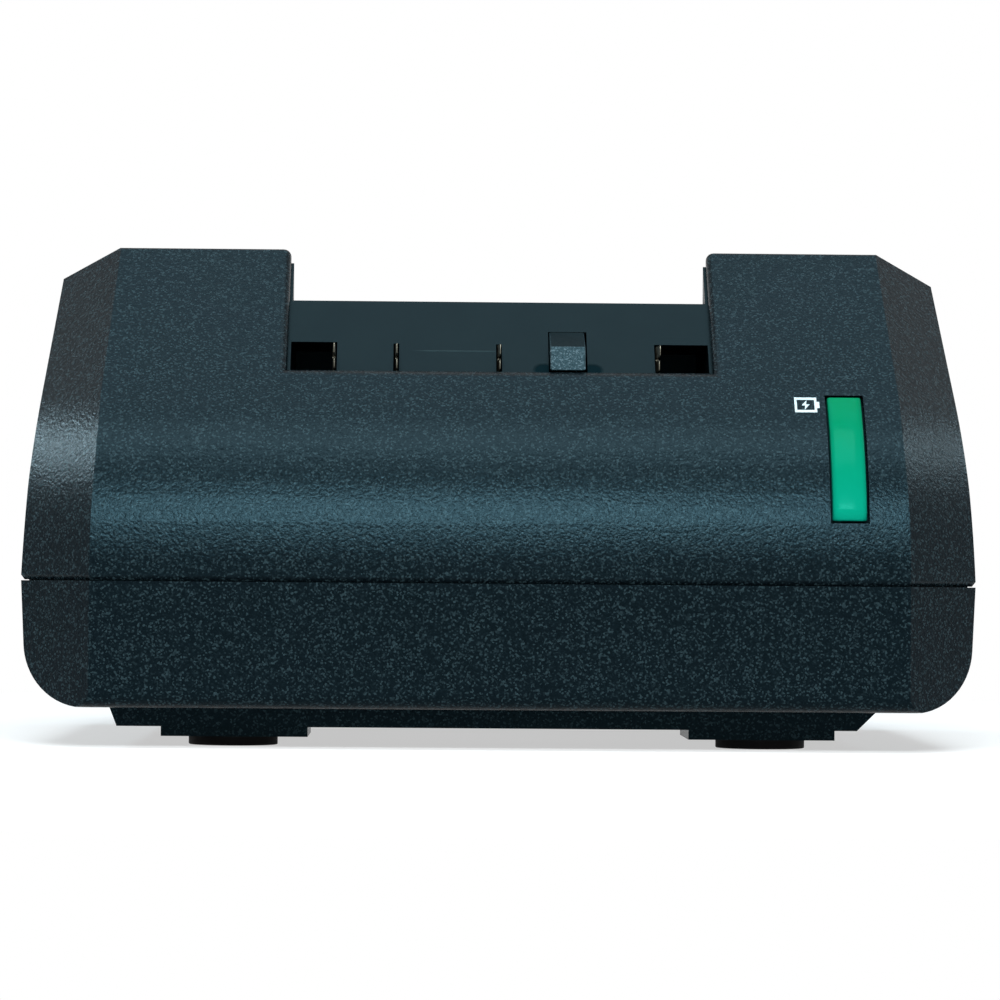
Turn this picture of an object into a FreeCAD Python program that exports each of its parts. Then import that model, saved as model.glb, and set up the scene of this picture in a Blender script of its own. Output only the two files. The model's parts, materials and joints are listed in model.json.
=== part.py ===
import FreeCAD, Part
import math
import os
import re
import Sketcher

# Battery charger for slide-on tool packs: a two-part housing with a bay on top.
# +X right, +Y from the front to the rear, +Z up, origin on the floor under the middle.
# The front is at low Y. All sizes are millimetres and degrees.

doc = FreeCAD.newDocument("PackCharger")
sheet = doc.addObject("Spreadsheet::Sheet", "Sizes")
nodes = []
depth_of = {}


# Driving dimensions

sizes = {
    # Housing outline
    "body_width": 180.0,
    "body_depth": 136.0,
    "base_bottom": 7.5,
    "base_rim": 31.0,
    "parting_gap": 0.15,
    "rim_chamfer": 0.65,
    "rim_chamfer_height": 0.9,
    "rim_wall": 1.3,
    "wall": 2.4,
    "front_curve": 45.0,
    "slope_angle": 45.0,
    "slope_foot": 51.6,
    "crest_height": 96.2,
    "crest_round": 1.2,
    "top_fall": 4.15,
    "rear_round": 8.0,
    "waist_height": 50.0,
    "waist_inset": 1.0,
    "waist_round": 120.0,
    "side_top_inset": 4.5,
    "side_top_drop": 5.9,
    "shoulder_inset": 16.1,
    "front_facet": 13.8,
    "facet_share": 0.744,
    "rear_facet": 10.0,
    "base_draft": 1.2,
    "base_side_round": 12.0,
    "base_front_round": 3.2,
    "base_rear_round": 6.0,
    "rim_tongue": 1.5,
    "rim_tongue_height": 3.5,
    "rim_tongue_root": 5.0,
    "seat_fit": 0.15,

    # Underside
    "plate_bottom": 3.8,
    "plate_left_inset": 18.3,
    "plate_right_inset": 22.5,
    "plate_left_taper": 1.9,
    "plate_right_taper": 5.0,
    "plate_margin": 12.0,
    "pad_bottom": 1.9,
    "pad_inset": 40.3,
    "pad_width": 27.6,
    "pad_length": 26.0,
    "foot_shift": 0.7,
    "foot_radius": 8.5,
    "foot_recess": 1.0,
    "foot_fit": 0.2,
    "foot_edge_round": 0.8,
    "foot_inset_front": 27.0,
    "foot_inset_rear": 28.0,

    # Pack bay
    "lip_drop": 24.8,
    "bay_half_width": 40.05,
    "bay_edge_step": 0.55,
    "deck_drop": 10.5,
    "bay_stop_inset": 17.5,
    "liner": 2.0,
    "panel_tuck": 6.0,
    "slot_inner_left": 31.2,
    "slot_inner_right": 29.7,
    "slot_height": 5.7,
    "slot_length": 44.2,
    "slot_wall": 1.8,
    "ledge_fit": 0.1,

    # Contact blades
    "blade_thickness": 0.7,
    "blade_set": 0.7,
    "blade_lift": 0.3,
    "blade_height": 5.1,
    "blade_side_fit": 0.25,
    "blade_fit": 0.2,
    "data_blade_x": -19.85,
    "sensor_blade_x": -0.15,
    "block_set": 22.2,
    "block_length": 10.0,

    # Seat key
    "key_left": 9.7,
    "key_width": 6.7,
    "key_set": 0.8,
    "key_lift": 0.35,
    "key_ramp_rise": 4.6,
    "key_ramp_run": 2.0,
    "key_height": 7.55,
    "key_slant_run": 8.8,
    "key_length": 23.4,
    "key_fit": 0.35,
    "key_travel": 3.0,
    "guide_wall": 1.5,
    "spring_room": 14.4,
    "stem_radius": 1.2,
    "stem_overrun": 1.5,
    "spring_radius": 2.9,
    "spring_wire": 1.0,
    "spring_fit": 0.1,
    "switch_length": 10.5,
    "switch_height": 6.4,
    "switch_gap": 0.4,

    # Light bar
    "light_inset": 28.25,
    "light_width": 6.4,
    "light_length": 23.5,
    "light_below": 8.4,
    "light_gap": 0.45,
    "light_proud": 0.2,
    "light_flange": 1.8,
    "light_flange_thickness": 1.4,
    "guide_foot": 23.0,
    "guide_rear": 20.0,
    "guide_width": 4.6,

    # Boards
    "board_side_inset": 22.0,
    "board_front": 14.5,
    "board_rear_inset": 18.0,
    "board_level": 18.0,
    "board_thickness": 1.6,
    "board_post_side": 12.0,
    "board_post_inset": 6.0,
    "board_post_radius": 3.2,
    "sheet_thickness": 0.4,
    "riser_room": 4.7,
    "riser_left": 36.0,
    "riser_right": 34.0,
    "riser_drop": 5.7,
    "socket_height": 8.0,
    "socket_length": 7.6,

    # Cord gland
    "gland_x": -45.0,
    "gland_level": 19.6,
    "gland_bore": 3.4,
    "gland_neck": 5.2,
    "gland_flange": 6.9,
    "gland_flange_thickness": 2.5,
    "gland_collar": 6.1,
    "gland_collar_thickness": 2.0,
    "gland_tail": 2.4,
    "gland_fit": 0.1,
    "clamp_spread": 9.0,
    "clamp_inset": 11.5,
    "clamp_width": 5.6,
    "clamp_thickness": 2.6,
    "clamp_post_radius": 2.8,

    # Fasteners
    "case_screw_inset": 12.0,
    "case_screw_front": 24.0,
    "case_screw_rear": 24.0,
    "case_post_radius": 4.5,
    "case_screw_radius": 1.75,
    "case_head_radius": 3.3,
    "case_head_height": 2.4,
    "case_head_level": 14.0,
    "case_screw_length": 32.0,
    "small_screw_radius": 1.4,
    "small_head_radius": 2.7,
    "small_head_height": 1.8,
    "small_screw_length": 9.0,
    "thread_fit": 0.05,
    "head_fit": 0.35,
    "lug_offset": 5.4,
    "lug_set": 42.2,
    "lug_rear_inset": 14.5,
    "lug_radius": 3.6,
    "lug_drop": 5.7,
    "lug_thickness": 2.6,

    # Vents
    "vent_count": 11,
    "vent_pitch": 5.6,
    "vent_width": 2.4,
    "vent_low": 44.0,
    "vent_drop": 24.2,

    # Rating plate, bare
    "label_width": 52.0,
    "label_length": 30.0,
    "label_thickness": 0.4,

    # Parts on the board
    "core_x": 8.0,
    "core_y": 46.0,
    "core_width": 36.0,
    "core_depth": 12.0,
    "core_height": 30.0,
    "core_limb": 6.0,
    "core_pole": 10.0,
    "bobbin_height": 4.0,
    "winding_fit": 0.3,
    "winding_reach": 8.0,
    "bulk_x": -25.0,
    "bulk_y": 46.0,
    "bulk_radius": 9.0,
    "bulk_height": 34.0,
    "can_round": 1.5,
    "sink_inset": 16.0,
    "sink_front": 30.0,
    "sink_length": 38.0,
    "sink_height": 30.0,
    "sink_plate": 2.5,
    "sink_fin": 7.0,
    "sink_fin_thickness": 1.4,
    "sink_fin_count": 5,
    "second_sink_inset": 22.0,
    "package_length": 10.4,
    "package_height": 15.0,
    "package_thickness": 4.4,
    "package_leg": 4.0,
    "leg_width": 0.9,
    "leg_spacing": 2.6,
    "output_inset": 10.5,
    "output_front": 46.0,
    "output_radius": 5.0,
    "output_height": 21.0,
    "output_pitch": 11.0,
    "choke_side": 24.0,
    "choke_inset": 16.0,
    "choke_radius": 8.5,
    "choke_wire": 4.0,
    "film_x": -2.0,
    "film_inset": 14.0,
    "film_length": 18.0,
    "film_width": 8.0,
    "film_height": 15.0,
    "fuse_side": 14.0,
    "fuse_inset": 20.0,
    "fuse_radius": 2.6,
    "fuse_length": 20.0,
    "fuse_cap": 5.0,
    "inlet_shift": 9.5,
    "inlet_inset": 6.0,
    "inlet_length": 16.0,
    "inlet_width": 8.0,
    "inlet_height": 10.0,
    "bridge_side": 15.0,
    "bridge_y": 76.5,
    "bridge_length": 18.0,
    "bridge_width": 4.2,
    "bridge_height": 13.0,
    "chip_x": 22.0,
    "chip_inset": 12.0,
    "chip_length": 12.0,
    "chip_width": 7.4,
    "chip_height": 2.2,
}
for row, (alias, value) in enumerate(sizes.items(), 1):
    sheet.set(f"A{row}", alias)
    sheet.set(f"B{row}", str(value))
    sheet.setAlias(f"B{row}", alias)
doc.recompute()


# Sheet values inside expressions

def linked(text):
    return re.sub(r"[a-z][a-z_]*", lambda m: f"Sizes.{m[0]}" if m[0] in sizes else m[0], str(text))


def number(text):
    found = sheet.evalExpression(linked(text))
    return float(getattr(found, "Value", found))


def bind(item, path, text):
    item.setExpression(path, linked(text))


def put(item, x="0", y="0", z="0"):
    depth_of[item.Name] = y
    bind(item, "Placement.Base.x", x)
    bind(item, "Placement.Base.y", y)
    bind(item, "Placement.Base.z", z)


# Outlines: closed runs of (across, up, radius) corners, each bound to the sheet

def unit_to(start, end):
    return (end - start).normalize()


def draw(sketch, corners):
    points = [FreeCAD.Vector(number(c[0]), number(c[1]), 0) for c in corners]
    radii = [c[2] if len(c) > 2 else None for c in corners]
    count = len(points)
    entry, leave, rounds = [], [], {}
    for i, point in enumerate(points):
        back = unit_to(point, points[i - 1])
        ahead = unit_to(point, points[(i + 1) % count])
        if radii[i] is None:
            entry.append(point)
            leave.append(point)
            continue
        radius = number(radii[i])
        half = back.getAngle(ahead) / 2
        reach = radius / math.tan(half)
        entry.append(point + back * reach)
        leave.append(point + ahead * reach)
        centre = point + (back + ahead).normalize() * (radius / math.sin(half))
        turn = back.cross(ahead).z
        rounds[i] = (centre, radius, turn)
    for i in range(count):
        sketch.addGeometry(Part.LineSegment(leave[i], entry[(i + 1) % count]), False)
    for i in range(count):
        before = (i - 1) % count
        if i not in rounds:
            sketch.addConstraint(Sketcher.Constraint("Coincident", before, 2, i, 1))
            hold(sketch, i, 1, points[i], corners[i], i)
            continue
        centre, radius, turn = rounds[i]
        circle = Part.Circle(centre, FreeCAD.Vector(0, 0, 1), radius)
        angles = [math.atan2(p.y - centre.y, p.x - centre.x) for p in (entry[i], leave[i])]
        first, last = (1, 2) if turn < 0 else (2, 1)
        if turn > 0:
            angles.reverse()
        if angles[1] < angles[0]:
            angles[1] += 2 * math.pi
        arc = sketch.addGeometry(Part.ArcOfCircle(circle, angles[0], angles[1]), False)
        vertex = sketch.addGeometry(Part.Point(points[i]), True)
        hold(sketch, vertex, 1, points[i], corners[i], i)
        sketch.addConstraint(Sketcher.Constraint("PointOnObject", vertex, 1, before))
        sketch.addConstraint(Sketcher.Constraint("PointOnObject", vertex, 1, i))
        sketch.addConstraint(Sketcher.Constraint("Tangent", before, 2, arc, first))
        sketch.addConstraint(Sketcher.Constraint("Tangent", arc, last, i, 1))
        held = sketch.addConstraint(Sketcher.Constraint("Radius", arc, radius))
        sketch.renameConstraint(held, f"round{i}")
        bind(sketch, f"Constraints.round{i}", radii[i])
    return sketch


def hold(sketch, geometry, end, point, corner, i):
    across = sketch.addConstraint(Sketcher.Constraint("DistanceX", -1, 1, geometry, end, point.x))
    sketch.renameConstraint(across, f"across{i}")
    bind(sketch, f"Constraints.across{i}", corner[0])
    up = sketch.addConstraint(Sketcher.Constraint("DistanceY", -1, 1, geometry, end, point.y))
    sketch.renameConstraint(up, f"up{i}")
    bind(sketch, f"Constraints.up{i}", corner[1])


# Building blocks

planes = {
    "x": (FreeCAD.Rotation(FreeCAD.Vector(1, 1, 1), 120), FreeCAD.Vector(1, 0, 0)),
    "y": (FreeCAD.Rotation(FreeCAD.Vector(1, 0, 0), 90), FreeCAD.Vector(0, 1, 0)),
    "z": (FreeCAD.Rotation(), FreeCAD.Vector(0, 0, 1)),
}


def prism(name, along, corners, start, end):
    turn, direction = planes[along]
    sketch = doc.addObject("Sketcher::SketchObject", f"{name}_outline")
    sketch.Placement = FreeCAD.Placement(FreeCAD.Vector(), turn)
    bind(sketch, f"Placement.Base.{along}", start)
    draw(sketch, corners)
    solid = doc.addObject("Part::Extrusion", name)
    solid.Base = sketch
    solid.DirMode = "Custom"
    solid.Dir = direction
    solid.Solid = True
    bind(solid, "LengthFwd", f"({end}) - ({start})")
    return solid


def flared(name, low_corners, high_corners, low, high):
    sections = []
    for tag, corners, level in (("low", low_corners, low), ("high", high_corners, high)):
        sketch = doc.addObject("Sketcher::SketchObject", f"{name}_{tag}")
        bind(sketch, "Placement.Base.z", level)
        sections.append(draw(sketch, corners))
    skirt = doc.addObject("Part::Loft", name)
    skirt.Sections = sections
    skirt.Solid = True
    skirt.Ruled = True
    return skirt


def block(name, x, y, z):
    box = doc.addObject("Part::Box", name)
    bind(box, "Length", f"({x[1]}) - ({x[0]})")
    bind(box, "Width", f"({y[1]}) - ({y[0]})")
    bind(box, "Height", f"({z[1]}) - ({z[0]})")
    put(box, x[0], y[0], z[0])
    return box


def rod(name, radius, length, x, y, z, along="z"):
    bar = doc.addObject("Part::Cylinder", name)
    bind(bar, "Radius", radius)
    bind(bar, "Height", length)
    if along == "y":
        bar.Placement.Rotation = FreeCAD.Rotation(FreeCAD.Vector(1, 0, 0), -90)
    if along == "x":
        bar.Placement.Rotation = FreeCAD.Rotation(FreeCAD.Vector(0, 1, 0), 90)
    put(bar, x, y, z)
    return bar


def joined(name, pieces):
    whole = doc.addObject("Part::MultiFuse", name)
    whole.Shapes = pieces
    whole.Refine = True
    return whole


def shared(name, pieces):
    inside = doc.addObject("Part::MultiCommon", name)
    inside.Shapes = pieces
    return inside


def cut(name, base, tools):
    result = doc.addObject("Part::Cut", name)
    result.Base = base
    result.Tool = tools[0] if len(tools) == 1 else joined(f"{name}_tools", tools)
    return result


def group(name, pieces):
    held = doc.addObject("Part::Compound", name)
    held.Links = pieces
    return held


# A finished piece is moved so that the origin is under the middle of the whole depth
def node(name, item):
    item.Label = name
    y = depth_of.get(item.Name, "0")
    bind(item, "Placement.Base.y", f"({y}) - (body_depth + gland_fit + gland_flange_thickness) / 2")
    nodes.append(item)
    return item


def body_sketch(body, name, role):
    plane = next(f for f in body.Origin.OriginFeatures if f.Role == role)
    sketch = body.newObject("Sketcher::SketchObject", name)
    sketch.AttachmentSupport = (plane, [""])
    sketch.MapMode = "FlatFace"
    return sketch


def padded(name, corners, thickness, x="0", y="0", z="0"):
    body = doc.addObject("PartDesign::Body", name)
    sketch = draw(body_sketch(body, f"{name}_plan", "XY_Plane"), corners)
    pad = body.newObject("PartDesign::Pad", f"{name}_pad")
    pad.Profile = sketch
    bind(pad, "Length", thickness)
    put(body, x, y, z)
    return body


def turned(name, corners, x, y, z, turn=None):
    body = doc.addObject("PartDesign::Body", name)
    sketch = draw(body_sketch(body, f"{name}_half", "XZ_Plane"), corners)
    spin = body.newObject("PartDesign::Revolution", f"{name}_turn")
    spin.Profile = sketch
    spin.ReferenceAxis = (sketch, ["V_Axis"])
    spin.Angle = 360
    if turn:
        body.Placement.Rotation = turn
    put(body, x, y, z)
    return body


# Shared heights and lines of the housing

half_width = "body_width / 2"
crest_y = "(crest_height - slope_foot) * tan(slope_angle)"
cover_rim = "base_rim + parting_gap"
split = "base_rim + parting_gap / 2"
floor_top = "(plate_bottom + wall)"
rim_top = f"({cover_rim} + rim_chamfer_height)"
beyond = "crest_height + 20"
lip_height = "(crest_height - lip_drop)"
deck_height = "(crest_height - deck_drop)"
bay_stop = "(body_depth - bay_stop_inset)"
facet_lean = "atan(facet_share * tan(slope_angle))"
board_top = "board_level + board_thickness"
board_side = f"({half_width} - board_side_inset)"
board_rear = "(body_depth - board_rear_inset)"
light_left = f"({half_width} - light_inset)"
light_low = "(slope_foot - light_below)"
light_high = f"({light_low} + light_length)"
lug_top = f"({deck_height} - lug_drop)"
pad_offset = f"({half_width} - pad_inset)"
bay_front = f"({lip_height} - slope_foot) * tan(slope_angle)"
blade_front = f"({bay_front} + blade_set)"
block_front = f"({bay_front} + block_set)"
key_front = f"({bay_front} + key_set)"
key_rear = f"({key_front} + key_length)"
slot_end = f"({bay_front} + slot_length)"


def slope_y(height, inset="0"):
    return f"(({height}) - slope_foot) * tan(slope_angle) + ({inset}) / cos(slope_angle)"


def top_z(y, inset="0"):
    return f"crest_height - (({y}) - {crest_y}) * tan(top_fall) - ({inset}) / cos(top_fall)"


# Side view: a plumb front that rolls back into a slope, a gently falling top, a plumb rear
def side_profile(inset):
    steep = "tan(slope_angle) * tan(top_fall)"
    apex = f"crest_height + {crest_y} * tan(top_fall) - ({inset}) / cos(top_fall)"
    crest = f"(({apex} - slope_foot) * tan(slope_angle) + ({inset}) / cos(slope_angle)) / (1 + {steep})"
    rear = f"body_depth - ({inset})"
    return [
        (inset, "0"),
        (inset, f"slope_foot - ({inset}) * tan(slope_angle / 2)", f"front_curve - ({inset})"),
        (crest, top_z(crest, inset), "crest_round"),
        (rear, top_z(rear, inset), f"rear_round - ({inset})"),
        (rear, "0"),
    ]


def side_prism(name, inset):
    return prism(name, "x", side_profile(inset), f"-{half_width}", half_width)


# Front view: sides that lean in, and a chamfer from the side to the flat of the shoulder
def front_profile(inset):
    top_x = f"({half_width} - side_top_inset)"
    run = "(shoulder_inset - side_top_inset)"
    drop = "side_top_drop"
    waist = f"({half_width} - waist_inset - ({inset}))"
    share = f"(sqrt({run} ^ 2 + {drop} ^ 2) - {drop}) / {run}"
    low_corner = f"(crest_height - {drop} - ({inset}) * {share})"
    right = [
        (f"{half_width} - ({inset})", "0"),
        (f"{half_width} - ({inset})", rim_top),
        (waist, "waist_height", f"waist_round - ({inset})"),
        (f"{top_x} - ({inset})", low_corner),
        (f"{top_x} - ({inset}) - 2 * {run}", f"{low_corner} + 2 * {drop}"),
    ]
    return mirrored(right)


def mirrored(right):
    left = [(f"-({c[0]})",) + tuple(c[1:]) for c in reversed(right)]
    return right + left


# Seen from above: a rectangle with its corners cut at 45 degrees
def plan_profile(inset, front_cut, rear_cut):
    side = f"({half_width} - ({inset}))"
    rear = f"(body_depth - ({inset}))"
    corners = []
    if front_cut:
        front = f"({front_cut} - ({inset}) * (2 - sqrt(2)))"
        corners += [(f"{side} - {front}", inset), (side, f"({inset}) + {front}")]
    else:
        corners += [(side, inset)]
    back = f"({rear_cut} - ({inset}) * (2 - sqrt(2)))"
    corners += [(side, f"{rear} - {back}"), (f"{side} - {back}", rear)]
    return mirrored(corners)


# A front facet leans back with the slope, by its own share of the recess
def facet_tool(name, inset, side):
    reach = "body_width / 4"
    top = beyond
    lean = f"({facet_lean})"
    corners = [
        (f"-({reach})", "0"),
        (inset, "0"),
        (inset, f"slope_foot - ({inset}) * tan({lean} / 2)",
         f"front_curve * tan(slope_angle / 2) / tan({lean} / 2) - ({inset})"),
        (f"({top} - slope_foot) * facet_share * tan(slope_angle) + ({inset}) / cos({lean})", top),
        (f"-({reach})", top),
    ]
    tool = prism(name, "y", corners, f"-({reach})", reach)
    tool.Placement.Rotation = FreeCAD.Rotation(FreeCAD.Vector(0, 0, 1), 45 if side < 0 else 135)
    put(tool, f"{side} * ({half_width} - front_facet / 2)", "front_facet / 2")
    return tool


def envelope(name, inset, low):
    side = side_prism(f"{name}_side", inset)
    front = prism(f"{name}_front", "y", front_profile(inset), "0", "body_depth")
    plan = prism(f"{name}_plan", "z", plan_profile(inset, None, "rear_facet"), low, beyond)
    raw = shared(f"{name}_raw", [side, front, plan])
    facets = [facet_tool(f"{name}_facet_{tag}", inset, s) for tag, s in (("left", -1), ("right", 1))]
    return cut(name, raw, facets)


def screw(name, radius, length, head_radius, head_height, x, y, seat, up=True):
    # The head bears on the seat; the shank runs up or down from it
    if up:
        head_low, shank_low = f"({seat}) - {head_height}", seat
    else:
        head_low, shank_low = seat, f"({seat}) - {length}"
    head = rod(f"{name}_head", head_radius, head_height, x, y, head_low)
    shank = rod(f"{name}_shank", radius, length, x, y, shank_low)
    recess_low = head_low if up else f"({seat}) + {head_height} / 2"
    recess = rod(f"{name}_drive", f"{head_radius} / 2", f"{head_height} / 2", x, y, recess_low)
    return cut(name, joined(f"{name}_whole", [head, shank]), [recess])


case_spots = [
    (f"{side} * ({half_width} - case_screw_inset)", y)
    for y in ("case_screw_front", "body_depth - case_screw_rear")
    for side in (-1, 1)
]
board_spots = [
    (f"{side} * ({board_side} - board_post_side)", y)
    for y in ("board_front + board_post_inset", f"{board_rear} - board_post_inset")
    for side in (-1, 1)
]
foot_spots = [
    (f"{side}_{end}", sign, y)
    for end, y in (("front", "foot_inset_front"), ("rear", "body_depth - foot_inset_rear"))
    for side, sign in (("left", -1), ("right", 1))
]
lug_x = "(bay_half_width + liner + lug_offset)"
lug_front = f"({bay_front} + lug_set)"
lug_rear = f"({bay_stop} - lug_rear_inset)"
lug_spots = [(f"{side} * {lug_x}", y) for y in (lug_front, lug_rear) for side in (-1, 1)]
clamp_y = "body_depth - clamp_inset"
clamp_low = "gland_level + gland_bore + ledge_fit"
clamp_spots = [f"gland_x + {side} * clamp_spread" for side in (-1, 1)]


# Base shell: plumb sides, rounded lower corners, a stepped underside and the inner posts

def base_form(name, inset, low, high):
    round_radius = f"base_side_round - ({inset})"
    bottom = f"base_bottom + ({inset})"
    front = prism(f"{name}_front", "y", mirrored([
        (f"{half_width} - base_draft - ({inset})", bottom, round_radius),
        (f"{half_width} - ({inset})", high),
    ]), "0", "body_depth")
    side = prism(f"{name}_side", "x", [
        (inset, high),
        (inset, bottom, f"base_front_round - ({inset}) / 2"),
        (f"body_depth - ({inset})", bottom, f"base_rear_round - ({inset})"),
        (f"body_depth - ({inset})", high),
    ], f"-{half_width}", half_width)
    plan = prism(f"{name}_plan", "z", plan_profile(inset, "front_facet", "rear_facet"), low, high)
    return shared(name, [front, side, plan])


def build_base():
    tongue_outer = "rim_wall + seat_fit"
    tongue_inner = f"{tongue_outer} + rim_tongue"
    tongue_low = "base_rim - rim_tongue_root"
    plate_left = f"({half_width} - plate_left_inset)"
    plate_right = f"({half_width} - plate_right_inset)"
    plate = prism("base_plate", "y", [
        (f"-{plate_left} - plate_left_taper", "base_bottom + wall / 2"),
        (f"-{plate_left}", "plate_bottom"),
        (plate_right, "plate_bottom"),
        (f"{plate_right} + plate_right_taper", "base_bottom + wall / 2"),
    ], "plate_margin", "body_depth - plate_margin")
    tongue = prism("base_tongue", "z", plan_profile(tongue_outer, "front_facet", "rear_facet"),
                   tongue_low, "base_rim + rim_tongue_height")
    pads = [
        block(f"base_pad_{tag}",
              (f"{sign} * {pad_offset} - pad_width / 2", f"{sign} * {pad_offset} + pad_width / 2"),
              (f"{y} - pad_length / 2", f"{y} + pad_length / 2"),
              ("pad_bottom", "plate_bottom + wall / 2"))
        for tag, sign, y in foot_spots
    ]
    outer = joined("base_outer", [base_form("base_form", "0", "0", "base_rim"), plate, tongue] + pads)
    hollow = base_form("base_hollow", "wall", "0", f"{tongue_low}")
    throat = prism("base_throat", "z", plan_profile(tongue_inner, "front_facet", "rear_facet"),
                   f"{tongue_low} - wall", beyond)
    sump = block("base_sump", (f"wall - {plate_left}", f"{plate_right} - wall"),
                 ("plate_margin + wall", "body_depth - plate_margin - wall"),
                 (floor_top, "base_bottom + 2 * wall"))
    shell = cut("base_open", outer, [hollow, throat, sump])
    posts = [
        rod(f"base_case_post_{i}", "case_post_radius", f"{split} - base_bottom - wall / 2", x, y,
            "base_bottom + wall / 2")
        for i, (x, y) in enumerate(case_spots)
    ]
    posts += [
        rod(f"base_board_post_{i}", "board_post_radius",
            f"board_level - sheet_thickness - {floor_top} + wall / 2", x, y, f"{floor_top} - wall / 2")
        for i, (x, y) in enumerate(board_spots)
    ]
    posts += [
        rod(f"base_clamp_post_{i}", "clamp_post_radius", f"{clamp_low} - base_bottom - wall / 2",
            x, clamp_y, "base_bottom + wall / 2")
        for i, x in enumerate(clamp_spots)
    ]
    holes = []
    for i, (x, y) in enumerate(case_spots):
        holes.append(rod(f"case_hole_{i}", "case_screw_radius + head_fit", f"{beyond}", x, y, "0"))
        holes.append(rod(f"case_bore_{i}", "case_head_radius + head_fit",
                         "case_head_level + case_head_height", x, y, "0"))
    for i, (x, y) in enumerate(board_spots):
        holes.append(rod(f"board_pilot_{i}", "small_screw_radius + thread_fit", "board_level",
                         x, y, f"{board_top} - small_screw_length - thread_fit"))
    for i, x in enumerate(clamp_spots):
        holes.append(rod(f"clamp_pilot_{i}", "small_screw_radius + thread_fit", "board_level",
                         x, clamp_y, f"{clamp_low} + clamp_thickness - small_screw_length - thread_fit"))
    for tag, sign, y in foot_spots:
        holes.append(rod(f"foot_recess_{tag}", "foot_radius + foot_fit", "pad_bottom + foot_recess",
                         f"{sign} * ({pad_offset} + foot_shift)", y, "0"))
    holes.append(rod("gland_hole", "gland_neck + gland_fit", "4 * wall", "gland_x",
                     "body_depth - 3 * wall", "gland_level", "y"))
    node("base_shell", cut("base_shell_body", joined("base_posted", [shell] + posts), holes))


# Top cover: the sloping front, two shoulders, and the notch that the bay fills

def build_cover():
    skirt = flared("cover_skirt", plan_profile("rim_chamfer", "front_facet", "rear_facet"),
                   plan_profile("0", "front_facet", "rear_facet"), cover_rim, rim_top)
    outer = joined("cover_whole", [envelope("cover_outer", "0", rim_top), skirt])
    inner = envelope("cover_inner", "wall", "base_bottom")
    trim = envelope("cover_trim", "wall / 3", "base_bottom")
    rebate = prism("cover_rebate", "z", plan_profile("rim_wall", "front_facet", "rear_facet"),
                   "base_rim - wall", "base_rim + rim_tongue_height + seat_fit")
    shell = cut("cover_hollow", outer, [inner, rebate])
    posts = [
        rod(f"cover_post_{i}", "case_post_radius", beyond, x, y, split)
        for i, (x, y) in enumerate(case_spots)
    ]
    posts += [rod(f"cover_boss_{i}", "lug_radius", beyond, x, y, lug_top)
              for i, (x, y) in enumerate(lug_spots)]
    posts = shared("cover_posts", [joined("cover_post_rods", posts), trim])
    edge = "(bay_half_width + bay_edge_step)"
    notch = block("cover_notch", (f"-{edge}", edge),
                  ("-wall", f"{bay_stop} + bay_edge_step"), (lip_height, beyond))
    window = block("light_window", (f"{light_left} - light_gap", f"{light_left} + light_width + light_gap"),
                   ("-wall", f"{slope_y(light_high)} + 3 * wall"),
                   (f"{light_low} - light_gap", f"{light_high} + light_gap"))
    pilots = []
    for i, (x, y) in enumerate(case_spots):
        depth = "case_head_level + case_head_height + case_screw_length"
        pilots.append(rod(f"cover_pilot_{i}", "case_screw_radius + thread_fit",
                          f"{depth} - {split} + 2 * wall", x, y, f"{split} - wall"))
    for i, (x, y) in enumerate(lug_spots):
        pilots.append(rod(f"lug_pilot_{i}", "small_screw_radius + thread_fit",
                          "small_screw_length", x, y, f"{lug_top} - thread_fit"))
    vents = []
    for i in range(int(number("vent_count"))):
        centre = f"({i} - (vent_count - 1) / 2) * vent_pitch"
        vents.append(block(f"vent_{i}", (f"{centre} - vent_width / 2", f"{centre} + vent_width / 2"),
                           ("body_depth - 2 * wall", "body_depth + wall"),
                           ("vent_low", "crest_height - vent_drop")))
    whole = joined("cover_posted", [shell, posts])
    node("top_cover", cut("top_cover_body", whole, [notch, window] + pilots + vents))


# Bay deck: one moulding under the notch, with a sloping panel, a deck, side liners, two rail
# slots and the guide of the seat key

slot_floor = f"({lip_height} + ledge_fit)"
key_low = f"({lip_height} + key_lift)"
blade_low = f"({lip_height} + blade_lift)"
slot_top = f"({slot_floor} + slot_height)"
panel = "wall + seat_fit"
key_right = "(key_left + key_width)"
key_top = f"({key_low} + key_height)"
spring_end = f"({key_rear} + spring_room)"
guide_end = f"({spring_end} + guide_wall)"
switch_front = f"({spring_end} + guide_wall + stem_overrun + key_travel + switch_gap)"
riser_front = f"({switch_front} + switch_length + riser_room)"
deck_under = f"{deck_height} - liner"
left_blade_x = "-slot_inner_left - blade_side_fit - blade_thickness / 2"
right_blade_x = "slot_inner_right + blade_side_fit + blade_thickness / 2"
blades = {
    "positive_blade": left_blade_x,
    "data_blade": "data_blade_x",
    "sensor_blade": "sensor_blade_x",
    "negative_blade": right_blade_x,
}


def reach_out(side, near, far):
    return (near, far) if side > 0 else (f"-({far})", f"-({near})")


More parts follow.
